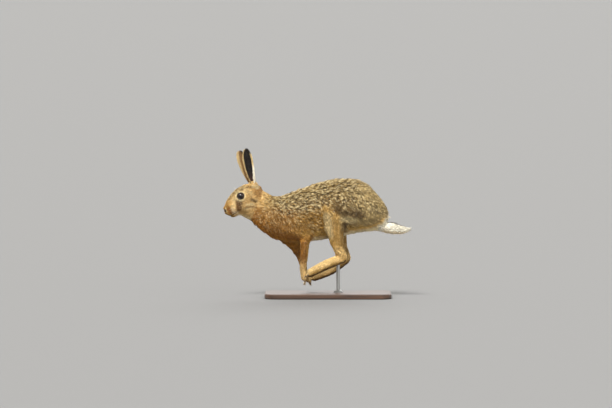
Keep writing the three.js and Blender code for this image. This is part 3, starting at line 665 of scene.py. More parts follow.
            ground = paint(ground, colour, share * stripe(s, t, ends, radius) * aside)
        # painted shade: the nostrils' openings are laid black
        nostril = stripe(s, t, (59, -11, 63, -6), 4) * rise(5.5, 3, np.abs(np.abs(out) - 7.5))
        ground = paint(ground, Hues.black, 0.95 * nostril)
        ahead = HEAD.axes()[0] * 1.6
        for side in SIDES.values():
            reach = p - EYE.centre(HEAD, side)
            ring, gap = (np.linalg.norm(reach - shift, axis=1) - EYE.radius for shift in (ahead, 0))
            ring, lids = 0.8 * rise(8, 3.5, ring), rise(2.6, 1.4, gap)
            ground = layers(ground, (Hues.cream, ring), (Hues.ear_dark, lids))
        return ground, rise(0, 14, t) * rise(46, 30, s) * 0.5 + 0.3 * rise(14, 0, t) * rise(30, 10, s)

    def ear(self, p: np.ndarray, n: np.ndarray, ear: EarFrame) -> np.ndarray:
        """Colour of an ear: a dark cup, partly its own dark skin and partly painted shade, pale margins, the
        rear one white below, and a black tip.

        Args:
            p: places in the hare's frame.
            n: the surface's way out at each.
            ear: which ear it is.

        Returns:
            A colour for each place.
        """
        at = ear.read(p, n)
        share, front, rear = at["share"], at["front"], at["rear"]
        base = rise(0.24, 0.1, share)
        # the cup's near black is partly its own dark skin and partly painted shade inside it
        cup = layers(Hues.ear_dark, (Hues.skin, 0.3 * rise(0.5, 0.1, share)), (Hues.ear_pale, 0.5 * base))
        tip = rise(0.84, 0.93, share) * (1 - 0.85 * front)
        if not ear.dark_front:
            tip = tip * rise(-0.1, 0.6, at["side"])
        return layers(
            Hues.ear_back,
            (cup, at["inner"]),
            (Hues.ear_pale, np.maximum(0.7 * front, 0.9 * rear) * (1 - 0.4 * base)),
            (Hues.white, 0.9 * rear * rise(0.66, 0.52, share) * (1 - 0.6 * base)),
            (Hues.black, tip),
        )

    def tail(self, q: np.ndarray, m: np.ndarray) -> tuple[np.ndarray, np.ndarray]:
        """The tail's colour, white with a black top and a gold tint of painted shade underneath, and how far
        it takes over from the rump's.

        Args:
            q: places in the hare's frame.
            m: the surface's way out at each.

        Returns:
            The colours and their shares.
        """
        x, y, z = q.T
        width = np.interp(x, (150, 175, 222), (8.5, 6.5, 1.5))
        top = rise(0.3, 0.75, m[:, 2]) * rise(1.15, 0.7, np.abs(y) / width) * rise(226, 205, x)
        own = np.maximum(rise(150, 162, x), rise(204, 196, z) * rise(132, 140, x))
        # the gold underneath is painted shade on the tail's lower side
        return layers(Hues.white, (Hues.foot, 0.5 * rise(-0.3, -0.9, m[:, 2])), (Hues.black, top)), own

    def read(self, p: np.ndarray, n: np.ndarray,
             zone: np.ndarray) -> tuple[np.ndarray, np.ndarray, np.ndarray]:
        """Reads the markings at points.

        Args:
            p: places in the hare's frame.
            n: the surface's way out at each.
            zone: number of each point's zone in FLESH.

        Returns:
            The ground colour, the share of dark hair and the share of cream hair at each point.
        """
        broad = rough(p, 24, 3.0)
        warp = np.stack([rough(p, 11, k) for k in (11.0, 23.0, 37.0)], 1) * 4
        curls = rough(p + warp, self.curl, 5.0) + 0.45 * rough(p, self.speck, 9.0)
        lie = np.array([unit(np.array(ZONES[name].lie, float)) for name in FLESH])[zone]
        locks = rough(p + warp * 0.5 - lie * (np.sum(p * lie, 1) * 0.75)[:, None], self.lock, 71.0)
        ground, mottle = self.trunk(p, broad)
        names = np.array(FLESH)[zone]
        for name in FLESH:
            here = names == name
            if not here.any():
                continue
            q, m = p[here], n[here]
            if name == "head":
                ground[here], mottle[here] = self.head(q)
                curls[here] = 0.8 * rough(q, 2.6, 83.0) + 0.3 * rough(q, 6, 89.0)
            elif name in EARS:
                ground[here], mottle[here] = self.ear(q, m, EARS[name]), 0
            elif name.startswith("thigh"):
                low, speck = self.haunch(q, broad[here])
                share = rise(262, 226, q[:, 2])
                ground[here] = paint(ground[here], low, share)
                mottle[here] += (speck - mottle[here]) * share
            elif name.startswith("shoulder"):
                ground[here] = paint(ground[here], Hues.foreleg, 0.7 * rise(172, 150, q[:, 2]))
                mottle[here] *= 0.35 + 0.65 * rise(165, 205, q[:, 2])
            elif name == "tail":
                tail, own = self.tail(q, m)
                ground[here] = paint(ground[here], tail, own)
                mottle[here] *= 1 - own
            elif name not in ("torso", "neck"):
                ground[here], mottle[here] = self.leg(q, m, name, broad[here]), 0.2
                if name.startswith("lower"):
                    above = rise(128, 158, q[:, 2])
                    ground[here] = paint(ground[here], self.haunch(q, broad[here])[0], above)
        plain = np.isin(names, ("tail", *EARS))
        ground = ground * (1 + 0.1 * broad + np.where(plain, 0.05, 0.3) * locks)[:, None]
        return ground, mottle * rise(0.02, 0.2, curls), mottle * rise(0.08, 0.26, -curls)


# Finishes


class Graph:
    """A material and its nodes, each added with its inputs set or linked."""

    def __init__(self, name: str, sockets: dict) -> None:
        """Starts a material, with its shader's own sockets set.

        Args:
            name: the material's name.
            sockets: the shader's inputs.
        """
        self.material = bpy.data.materials.new(name)
        self.material.use_nodes = True
        self.tree = self.material.node_tree
        self.shader = self.tree.nodes["Principled BSDF"]
        self.feed(self.shader, sockets)

    def feed(self, node: bpy.types.Node, sockets: dict) -> None:
        """Sets a node's inputs, or links those whose value is another node's output.

        Args:
            node: the node.
            sockets: a value or an output for each input's name.
        """
        for key, value in sockets.items():
            if isinstance(value, bpy.types.NodeSocket):
                self.tree.links.new(value, node.inputs[key])
            else:
                node.inputs[key].default_value = value

    def add(self, kind: str, sockets: dict, **settings: str) -> bpy.types.Node:
        """Adds a node, given its type without the prefix, its inputs and its own properties.

        Args:
            kind: the node's type without its prefix.
            sockets: its inputs.
            settings: its own properties.

        Returns:
            The new node.
        """
        node = self.tree.nodes.new(f"ShaderNode{kind}")
        for key, value in settings.items():
            setattr(node, key, value)
        self.feed(node, sockets)
        return node

    def marking(self) -> bpy.types.NodeSocket:
        """The stored marking's colour."""
        return self.add("Attribute", {}, attribute_name=MARKING).outputs["Color"]

    def noise(self, sizes: dict, stretch: tuple | None = None) -> bpy.types.NodeSocket:
        """Noise over the piece's own place, stretched where asked.

        Args:
            sizes: the noise's own inputs.
            stretch: a scale for each axis, or None.

        Returns:
            The noise's output.
        """
        place = self.add("TexCoord", {}).outputs["Object"]
        if stretch:
            place = self.add("Mapping", {"Vector": place, "Scale": stretch}).outputs["Vector"]
        return self.add("TexNoise", {"Vector": place, **sizes}).outputs["Fac"]

    def ramp(self, share: bpy.types.NodeSocket, low: tuple, high: tuple) -> None:
        """Runs the surface's colour between two stops, each a place on the ramp and a screen colour.

        Args:
            share: what the ramp reads.
            low: the first stop.
            high: the last stop.
        """
        node = self.add("ValToRGB", {"Fac": share})
        for stop, (place, code) in zip(node.color_ramp.elements, (low, high)):
            stop.position, stop.color = place, (*tone(code), 1)
        self.feed(self.shader, {"Base Color": node.outputs["Color"]})

    def shine(self, share: bpy.types.NodeSocket, low: float, high: float) -> None:
        """Runs the surface's roughness from low to high."""
        spread = self.add("MapRange", {"Value": share, "To Min": low, "To Max": high})
        self.feed(self.shader, {"Roughness": spread.outputs["Result"]})

    def bump(self, height: bpy.types.NodeSocket, strength: float, distance: float) -> None:
        """Raises the surface, by a distance in metres."""
        raised = self.add("Bump", {"Height": height, "Strength": strength, "Distance": distance})
        self.feed(self.shader, {"Normal": raised.outputs["Normal"]})


@dataclass(frozen=True)
class FurFinish:
    """Hair and skin: the stored marking, broken up finely."""

    name: str
    roughness: float = 0.72
    sheen: float = 0.08
    bump: float = 0.0
    grain: float = 420  # how fine the breaking up is
    spread: tuple = (0.82, 1.16)  # and how far it darkens and lightens

    def material(self) -> bpy.types.Material:
        """Builds the material.

        Returns:
            The new material.
        """
        g = Graph(self.name, {
            "Roughness": self.roughness, "Specular IOR Level": 0.25,
            "Sheen Weight": self.sheen, "Sheen Roughness": 0.45,
        })
        fine = g.noise({"Scale": self.grain, "Detail": 3})
        low, high = self.spread
        ends = {"From Min": 0.3, "From Max": 0.7, "To Min": low, "To Max": high}
        share = g.add("MapRange", {"Value": fine, **ends}).outputs["Result"]
        broken = g.add("VectorMath", {0: g.marking(), "Scale": share}, operation="SCALE")
        g.feed(g.shader, {"Base Color": broken.outputs["Vector"]})
        if self.bump:
            g.bump(fine, self.bump, 0.0006)
        return g.material


@dataclass(frozen=True)
class GlossFinish:
    """A smooth surface that takes its colour from the stored marking, as an eye, horn or wet skin."""

    name: str
    roughness: float = 0.1
    coat: float = 0.0
    specular: float = 0.5
    bump: float = 0.0
    bump_scale: float = 300

    def material(self) -> bpy.types.Material:
        """Builds the material.

        Returns:
            The new material.
        """
        g = Graph(self.name, {
            "Roughness": self.roughness, "Specular IOR Level": self.specular,
            "Coat Weight": self.coat, "Coat Roughness": 0.03,
        })
        g.feed(g.shader, {"Base Color": g.marking()})
        if self.bump:
            g.bump(g.noise({"Scale": self.bump_scale}), self.bump, 0.0004)
        return g.material


@dataclass(frozen=True)
class WoodFinish:
    """Dark stained and waxed wood with its grain along the stand."""

    name: str = "stained_wood"
    light: str = "50331e"
    deep: str = "2d1c10"
    stretch: tuple = (1.2, 14, 14)

    def material(self) -> bpy.types.Material:
        """Builds the material.

        Returns:
            The new material.
        """
        g = Graph(self.name, {"Coat Weight": 0.25, "Coat Roughness": 0.25})
        grain = g.noise({"Scale": 6, "Detail": 8, "Roughness": 0.62, "Distortion": 0.6}, self.stretch)
        g.ramp(grain, (0.36, self.deep), (0.62, self.light))
        g.shine(grain, 0.36, 0.56)
        g.bump(grain, 0.25, 0.0005)
        return g.material


@dataclass(frozen=True)
class SteelFinish:
    """Brushed steel, its brushing round the rod."""

    name: str = "brushed_steel"
    dull: str = "8f8f8d"
    bright: str = "bdbdba"
    stretch: tuple = (30, 30, 900)

    def material(self) -> bpy.types.Material:
        """Builds the material.

        Returns:
            The new material.
        """
        g = Graph(self.name, {"Metallic": 1})
        lines = g.noise({"Scale": 1, "Detail": 4}, self.stretch)
        g.ramp(lines, (0, self.dull), (1, self.bright))
        g.shine(lines, 0.22, 0.42)
        return g.material


# The skin


@dataclass
class Skin:
    """One skin over all the flesh, sunk below the solids by the coat's depth."""

    voxel: float = 1.7  # millimetres
    even_passes: int = 6
    calm_passes: int = 80
    flow_passes: int = 40
    hold: float = 0.5
    swell: float = -0.53
    muzzle_from: float = 38  # the skin is finer from here to the nose, and round the eyes
    eye_reach: float = 17
    lid_height: float = 0.9  # how far the lids stand over the eyeball
    tuck: float = 1.4  # how far the skin behind the lids' opening is sunk into it
    nostril: tuple = (60.5, -7.5, 4.3, 3.6, 1.6)
    mouth: tuple = (36, -30.5, 66, -27.5, 2.4)

    obj: bpy.types.Object = None
    pairs: np.ndarray = None
    degree: np.ndarray = None
    zone: np.ndarray = None
    lie: np.ndarray = None
    coat: np.ndarray = None

    def build(self) -> bpy.types.Object:
        """Builds the skin and reads how the coat lies on it.

        Returns:
            The skin.
        """
        self.obj = self.gather()
        self.refine()
        self.relax()
        self.find_zones()
        self.sink()
        self.carve_face()
        self.comb()
        return self.obj

    def gather(self) -> bpy.types.Object:
        """Joins merged copies of the flesh nodes and runs them together.

        Returns:
            The joined skin, not yet shaped.
        """
        deselect()
        for name in FLESH:
            copy = bpy.data.objects.new(f"flesh_{name}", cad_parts[name].data.copy())
            bpy.context.scene.collection.objects.link(copy)
            copy.select_set(True)
            bpy.context.view_layer.objects.active = copy
        bpy.ops.object.join()
        obj = bpy.context.view_layer.objects.active
        obj.name = obj.data.name = "skin"
        edit(obj, lambda: bpy.ops.mesh.remove_doubles(threshold=1e-5))
        recalculate(obj)
        remesh = obj.modifiers.new("run_together", "REMESH")
        remesh.mode = "VOXEL"
        remesh.voxel_size = self.voxel * MM
        bpy.ops.object.modifier_apply(modifier=remesh.name)
        obj.data.materials.clear()
        self.drop_scraps(obj)
        return obj

    @staticmethod
    def drop_scraps(obj: bpy.types.Object) -> None:
        """Keeps the largest connected surface, so that no shell is left inside.

        Args:
            obj: the joined skin.
        """
        a, b = read_rows(obj.data.edges, "vertices", 2).T
        label, before = np.arange(len(obj.data.vertices)), None
        while before is None or (label != before).any():
            low, before = np.minimum(label[a], label[b]), label.copy()
            np.minimum.at(label, a, low)
            np.minimum.at(label, b, low)
            label = label[label]
        names, sizes = np.unique(label, return_counts=True)
        scraps = label != names[sizes.argmax()]
        if scraps.any():
            edit(obj, lambda: bpy.ops.mesh.delete(type="VERT"), scraps)

    def points(self) -> np.ndarray:
        """The skin's points in the hare's frame."""
        return to_hare(read_rows(self.obj.data.vertices, "co"))

    def normals(self) -> np.ndarray:
        """The skin's way out at each point."""
        return read_rows(self.obj.data.vertex_normals, "vector")

    def move(self, points: np.ndarray) -> None:
        """Puts the skin's points at places in the hare's frame."""
        self.obj.data.vertices.foreach_set("co", to_row(points).astype(np.float32).ravel())
        self.obj.data.update()

    def refine(self) -> None:
        """Splits the faces of the muzzle and round the eyes once more."""
        local = HEAD.local(self.points())
        fine = (local[:, 0] > self.muzzle_from) & (local[:, 0] < 80) & (np.abs(local[:, 1]) < 60)
        for side in SIDES.values():
            fine |= np.linalg.norm(self.points() - EYE.centre(HEAD, side), axis=1) < self.eye_reach
        edit(self.obj, lambda: bpy.ops.mesh.subdivide(number_cuts=1), fine)
        edit(self.obj, bpy.ops.mesh.quads_convert_to_tris)

    def spread(self, values: np.ndarray) -> np.ndarray:
        """Mean of each point's neighbours, for one value or a row of them a point.

        Args:
            values: a value or a row for each point.

        Returns:
            The means, in the same shape.
        """
        count = len(values)
        flat = values.reshape(count, -1)
        ways = self.pairs.T, self.pairs.T[::-1]
        total = np.stack([
            sum(np.bincount(i, weights=column[j], minlength=count) for i, j in ways) for column in flat.T
        ], 1)
        return (total / self.degree[:, None]).reshape(values.shape)

    def relax(self) -> None:
        """Smooths the facets out without shrinking the form, less on the head and ears."""
        self.pairs = read_rows(self.obj.data.edges, "vertices", 2)
        self.degree = np.maximum(np.bincount(self.pairs.ravel(), minlength=len(self.obj.data.vertices)), 1)
        p = self.points()
        self.find_zones()
        calm = self.by_zone(lambda zone: zone.calm, 12)
        for turn in range(self.calm_passes):
            share = np.ones(len(p)) if turn < self.even_passes else calm
            for pull in (self.hold, self.swell):
                p = p + (self.spread(p) - p) * (pull * share)[:, None]
        self.move(p)

    def find_zones(self) -> None:
        """Gives each point of the skin the flesh node that it lies nearest to."""
        points, faces, owner = [], [], []
        for number, name in enumerate(FLESH):
            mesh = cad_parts[name].data
            start = len(points)
            points += [v.co[:] for v in mesh.vertices]
            faces += [[start + i for i in f.vertices] for f in mesh.polygons]
            owner += [number] * len(mesh.polygons)
        tree = BVHTree.FromPolygons(points, faces)
        self.zone = np.array([owner[tree.find_nearest(q)[2]] for q in to_row(self.points()).tolist()])

    def by_zone(self, read: Callable[[Zone], object], passes: int) -> np.ndarray:
        """Reads a value from each zone and runs it smoothly from one to the next.

        Args:
            read: gives a zone's value or row of values.
            passes: how often the values are spread.

        Returns:
            The value at each point.
        """
        values = np.array([read(ZONES[n]) for n in FLESH], float)[self.zone]
        for _ in range(passes):
            values = self.spread(values)
        return values

    def sink(self) -> None:
        """Moves the skin in by the coat's depth."""
        depth = self.by_zone(lambda zone: zone.depth, self.flow_passes)
        self.move(self.points() - self.normals() * depth[:, None])

    def at_mouth(self, local: np.ndarray, edge: float, core: float, full: float = 40) -> np.ndarray:
        """Share by which places of the head lie in the line of the mouth.

        Args:
            local: places in the head's frame.
            edge: distance from the line at which the share is 0.
            core: distance at which it is 1.
            full: how far ahead the line is full.

        Returns:
            The share of each place.
        """
        s, t, _ = local.T
        back, low, front, high, sag = self.mouth
        share = np.clip((s - back) / (front - back), 0, 1)
        line = low + (high - low) * share - sag * np.sin(share * math.pi)
        return rise(edge, core, np.abs(t - line)) * rise(back - 2, full, s)

    def at_nostril(self, local: np.ndarray, edge: float, core: float, wide: float = 6) -> np.ndarray:
        """Share by which places of the head lie in a nostril.

        Args:
            local: places in the head's frame.
            edge: distance at which the share is 0, where 1 is the nostril's own edge.
            core: distance at which it is 1.
            wide: half the nostril's width.

        Returns:
            The share of each place.
        """
        s, t, out = local.T
        at, height, aside, length, slit = self.nostril
        gap = np.hypot((s - at) / length, (t - height - 0.5 * (s - at)) / (slit * 1.5))
        return rise(edge, core, gap) * rise(wide, 3.5, np.abs(np.abs(out) - aside))

    def carve_face(self) -> None:
        """Shapes the lids' opening, the nostrils, the line of the mouth and the split lip."""
        p, n = self.points(), self.normals()
        local = HEAD.local(p)
        s, t, out = local.T
        dent = 2.4 * self.at_nostril(local, 1.25, 0.35, 6.5) + 1.7 * self.at_mouth(local, 2.0, 0.5, 42)
        dent += 1.5 * rise(1.8, 0.4, np.abs(out)) * rise(-9, -13, t) * rise(-31, -27, t) * rise(46, 52, s)
        p = p - n * (dent * (self.zone == FLESH.index("head")))[:, None]
        for side in SIDES.values():
            centre, basis = EYE.centre(HEAD, side), EYE.basis(HEAD, side)
            reach = p - centre
            gap = np.linalg.norm(reach, axis=1)
            gaze, front, upper = (unit(reach) @ basis.T).T
            inside = np.hypot(front / EYE.open_along, upper / EYE.open_up)
            hidden = (gaze > 0) & (inside < 1) & (gap < EYE.radius + 6)
            sunk = np.minimum(gap[hidden], EYE.radius - self.tuck)
            p[hidden] = centre + unit(reach[hidden]) * sunk[:, None]
            over = EYE.radius + self.lid_height
            under = (gaze > 0) & (inside >= 1) & (gap < over) & (gap > EYE.radius - 1)
            p[under] = centre + unit(reach[under]) * over
        self.move(p)

    def comb(self) -> None:
        """Works out the lie of the coat and the size of its tufts over the whole skin."""
        p, n = self.points(), self.normals()
        raw = self.by_zone(lambda zone: unit(np.array(zone.lie, float)), self.flow_passes)
        self.lie = unit(raw - n * np.sum(raw * n, 1, keepdims=True))
        self.coat = self.by_zone(lambda zone: (zone.length, zone.width, zone.lift, zone.cover),
                                 self.flow_passes)
        length, width, _, cover = self.coat.T
        local = HEAD.local(p)
        head = self.zone == FLESH.index("head")
        muzzle = rise(8, 48, local[:, 0]) * head
        length *= 1 - 0.5 * muzzle
        width *= 1 - 0.25 * muzzle
        for side in SIDES.values():
            gap = np.linalg.norm(p - EYE.centre(HEAD, side), axis=1) - EYE.radius
            cover *= rise(1.6, 2.6, gap)
            length *= 1 - 0.45 * rise(9, 2, gap)
        cover *= 1 - head * np.maximum(self.at_nostril(local, 1.4, 0.9), self.at_mouth(local, 1.9, 1.0))
        for name, ear in EARS.items():
            here = self.zone == FLESH.index(name)
            at_ear = ear.read(p[here], n[here])
            rim = at_ear["front"] + at_ear["rear"]
            length[here] *= 1 - 0.35 * at_ear["inner"] + 0.4 * rim
            cover[here] *= 1 - 0.45 * at_ear["inner"] * (1 - rim)

    def dress(self, finish: FurFinish, markings: Markings) -> None:
        """Paints the skin, unwraps it for the export's bake and lets it stand for the flesh nodes.

        Args:
            finish: the skin's finish.
            markings: the colours by place.
        """
        p = self.points()
        ground, dark, cream = markings.read(p, self.normals(), self.zone)
        colours = layers(ground, (Hues.dark, dark * 0.8), (Hues.cream, cream * 0.5))
        colours *= np.where(self.zone == FLESH.index("tail"), 1, 0.72)[:, None]
        local = HEAD.local(p)
        head = self.zone == FLESH.index("head")
        set_marking(self.obj, layers(
            colours,
            # painted shade: the nostrils laid black and the mouth's crease near black
            (Hues.black, self.at_nostril(local, 1.15, 0.6) * head),
            (Hues.ear_dark, 0.85 * self.at_mouth(local, 1.6, 0.5) * head),
        ))
        self.obj.data.uv_layers.new(name=BAKE_MAP)
        edit(self.obj, lambda: bpy.ops.uv.smart_project(angle_limit=math.radians(66), island_margin=0.002))
        self.obj.data.materials.append(finish.material())
        self.obj.data.polygons.foreach_set("use_smooth", np.ones(len(self.obj.data.polygons), bool))
        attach(self.obj, BODY)
        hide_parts(*FLESH)


# The coat


@dataclass
class Coat:
    """Tufts of solid mesh that follow the lie of the coat, from roots spread over the skin."""

    skin: Skin
    tufts: int = 128000
    most_in_piece: int = 19500
    seed: int = 11
    sunk: float = 0.6
    wave: float = 9  # size of the waves in which the coat lies
    loose: tuple = ("torso", "neck", "thigh_left", "thigh_right")  # zones whose hair waves most
    flat: float = 0.55  # a tuft's thickness as a share of its width
    patch: float = 0.0015  # radius of a tuft's patch on the bake's map

    def roots(self, rng: np.random.Generator) -> dict[str, np.ndarray]:
        """Spreads roots over the skin, denser where the tufts are small.

        Args:
            rng: the seeded source of draws.

        Returns:
            Place, way out, lie, sizes, zone and map place of each root.
        """
        mesh = self.skin.obj.data
        mesh.calc_loop_triangles()
        corner, loops = (read_rows(mesh.loop_triangles, key) for key in ("vertices", "loops"))
        uv = read_rows(mesh.uv_layers[BAKE_MAP].data, "uv", 2)[loops]
        p, n = self.skin.points(), self.skin.normals()
        a, b, c = (p[corner[:, k]] for k in range(3))
        area = np.linalg.norm(np.cross(b - a, c - a), axis=1) / 2
        size = self.skin.coat[corner].mean(1)
        weight = area * size[:, 3] / (size[:, 0] * size[:, 1])
        steps = np.cumsum(weight)
        draws = (np.arange(self.tufts) + rng.random(self.tufts)) / self.tufts * steps[-1]
        face = np.searchsorted(steps, draws).clip(0, len(corner) - 1)
        u, v = rng.random(self.tufts), rng.random(self.tufts)
        over = u + v > 1
        u[over], v[over] = 1 - u[over], 1 - v[over]
        share = np.stack([1 - u - v, u, v], 1)
        at = corner[face]

        def blend(values: np.ndarray) -> np.ndarray:
            """Runs values of the face's corners together at each root."""
            return (values[at] * share[:, :, None]).sum(1)

        first = at[np.arange(len(at)), share.argmax(1)]
        return {
            "place": blend(p), "out": unit(blend(n)), "lie": blend(self.skin.lie),
            "size": blend(self.skin.coat), "zone": self.skin.zone[first],
            "uv": (uv[face] * share[:, :, None]).sum(1),
        }

    def shape(self, r: dict[str, np.ndarray], rng: np.random.Generator) -> np.ndarray:
        """Shapes each tuft: three corners at its root, three at its belly and a tip.

        Args:
            r: the roots.
            rng: the seeded source of draws.

        Returns:
            Seven points a tuft, in the hare's frame.
        """
        count = len(r["place"])
        out = r["out"]
        lie = unit(r["lie"] - out * np.sum(r["lie"] * out, 1, keepdims=True))
        across = np.cross(out, lie)
        wave = rough(r["place"], self.wave, 51.0)
        on_trunk = np.isin(r["zone"], [FLESH.index(name) for name in self.loose])
        calm = np.where(r["zone"] == FLESH.index("tail"), 0.35, 1)
        sway = calm * (wave * np.where(on_trunk, 0.85, 0.35) + rng.normal(0, 0.16, count))
        lie = unit(lie * np.cos(sway)[:, None] + across * np.sin(sway)[:, None])
        across = np.cross(out, lie)
        length = r["size"][:, 0] * rng.uniform(0.72, 1.25, count)
        width = r["size"][:, 1] * rng.uniform(0.75, 1.3, count)
        lift = np.radians(r["size"][:, 2] * rng.uniform(0.5, 1.6, count))
        bend = rng.normal(0, 0.12, count)
        bend += np.where(on_trunk, 0.28, 0.05) * np.sign(wave) * np.abs(wave) ** 0.5
        steps = ((0.0, 0.55, 0.0), (0.45, 1.0, 0.35), (1.0, 0.0, 1.0))
        rings = []
        for share, wide, turn in steps:
            height = np.sin(lift) * length * share * (1.25 - 0.45 * share)
            middle = (r["place"] + lie * (np.cos(lift) * length * share)[:, None] + out * height[:, None]
                      + across * (bend * length * turn)[:, None] - out * (self.sunk if share == 0 else 0))
            if wide == 0:
                rings.append(middle[:, None])
                continue
            for angle in (90, 210, 330):
                c, s = (wide / 2 * f(math.radians(angle)) for f in (math.cos, math.sin))
                edge = across * (c * width)[:, None] + out * (s * width * self.flat)[:, None]
                rings.append((middle + edge)[:, None])
        return np.concatenate(rings, 1)

    def colour(self, r: dict[str, np.ndarray], points: np.ndarray, markings: Markings,
               rng: np.random.Generator) -> np.ndarray:
        """Colours each tuft from root to tip, from the markings where its belly and its tip lie.

        Args:
            r: the roots.
            points: the tufts' points.
            markings: the colours by place.
            rng: the seeded source of draws.

        Returns:
            A colour for each of a tuft's seven points.
        """
        count = len(points)
        shade = rng.normal(1, 0.1, count)[:, None]
        depth = rng.uniform(0.7, 1.1, count)
        rows = []
        for place in (points[:, 3:6].mean(1), points[:, 6]):
            ground, dark, cream = markings.read(place, r["out"], r["zone"])
            layer = layers(ground, (Hues.dark, dark * depth), (Hues.cream, cream * depth)) * shade
            rows.append(layer if not rows else paint(layer, Hues.black, 0.5 * dark * depth))
        belly, tip = rows
        root = belly * np.where(r["zone"] == FLESH.index("tail"), 0.97, 0.66)[:, None]
        return np.stack([root] * 3 + [belly] * 3 + [tip], 1)

    def build(self, markings: Markings, finish: FurFinish) -> list[bpy.types.Object]:
        """Builds the coat, one zone at a time.

        Args:
            markings: the colours by place.
            finish: the hair's finish.

        Returns:
            The coat's pieces.
        """
        rng = np.random.default_rng(self.seed)
        r = self.roots(rng)
        points = self.shape(r, rng)
        colours = self.colour(r, points, markings, rng)
        turn = np.radians(np.array([90, 210, 330]))
        ring = np.stack([np.cos(turn), np.sin(turn)], 1) * self.patch
        spots = np.concatenate([ring, ring * 0.5, np.zeros((1, 2))])
        faces = np.array([
            (0, 2, 1), (0, 1, 4), (0, 4, 3), (1, 2, 5), (1, 5, 4), (2, 0, 3), (2, 3, 5),
            (3, 4, 6), (4, 5, 6), (5, 3, 6),
        ])
        q = points[0]
        middle = q.mean(0)
        volume = sum(np.dot(q[a] - middle, np.cross(q[b] - middle, q[c] - middle)) for a, b, c in faces)
        if volume < 0:
            faces = faces[:, ::-1]
        material = finish.material()
        pieces = []
        for number, name in enumerate(FLESH):
            mine = np.flatnonzero(r["zone"] == number)
            parts = max(1, math.ceil(len(mine) / self.most_in_piece))
            for part, chosen in enumerate(np.array_split(mine, parts)):
                label = f"coat_{name}" + (f"_{part + 1}" if parts > 1 else "")
                spots_here = r["uv"][chosen][:, None] + spots
                obj = self.piece(label, points[chosen], colours[chosen], spots_here, faces)
                obj.data.materials.append(material)
                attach(obj, BODY)
                pieces.append(obj)
        return pieces

    @staticmethod
    def piece(name: str, points: np.ndarray, colours: np.ndarray, spots: np.ndarray,
              faces: np.ndarray) -> bpy.types.Object:
        """Makes one piece of coat.

        Args:
            name: the piece's name.
            points: seven to a tuft, in the hare's frame.
            colours: one to a point.
            spots: the points' places on the bake's map.
            faces: one tuft's faces.

        Returns:
            The new piece.
        """
        count = len(points)
        corners = (faces[None] + (np.arange(count) * 7)[:, None, None]).reshape(-1, 3)
        obj = mesh_piece(name, to_row(points.reshape(-1, 3)), corners)
        set_marking(obj, colours.reshape(-1, 3))
        layer = obj.data.uv_layers.new(name=BAKE_MAP)
        layer.data.foreach_set("uv", spots.reshape(-1, 2)[corners.ravel()].astype(np.float32).ravel())
        return obj


# Eyes, lids, claws and whiskers


def tube_piece(name: str, parts: list, material: bpy.types.Material) -> bpy.types.Object:
    """Joins tubes into one piece that rides the hare.

    Args:
        name: the piece's name.
        parts: the points in the hare's frame, the faces and the colours of each tube.
        material: what they are made of.

    Returns:
        The new piece.
    """
    points, faces, colours = zip(*parts)
    starts = np.cumsum([0] + [len(p) for p in points])
    faces = np.concatenate([f + start for f, start in zip(faces, starts)])
    obj = mesh_piece(name, to_row(np.concatenate(points)), faces)
    recalculate(obj)
    set_marking(obj, np.concatenate(colours))
    obj.data.materials.append(material)
    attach(obj, BODY)
    return obj


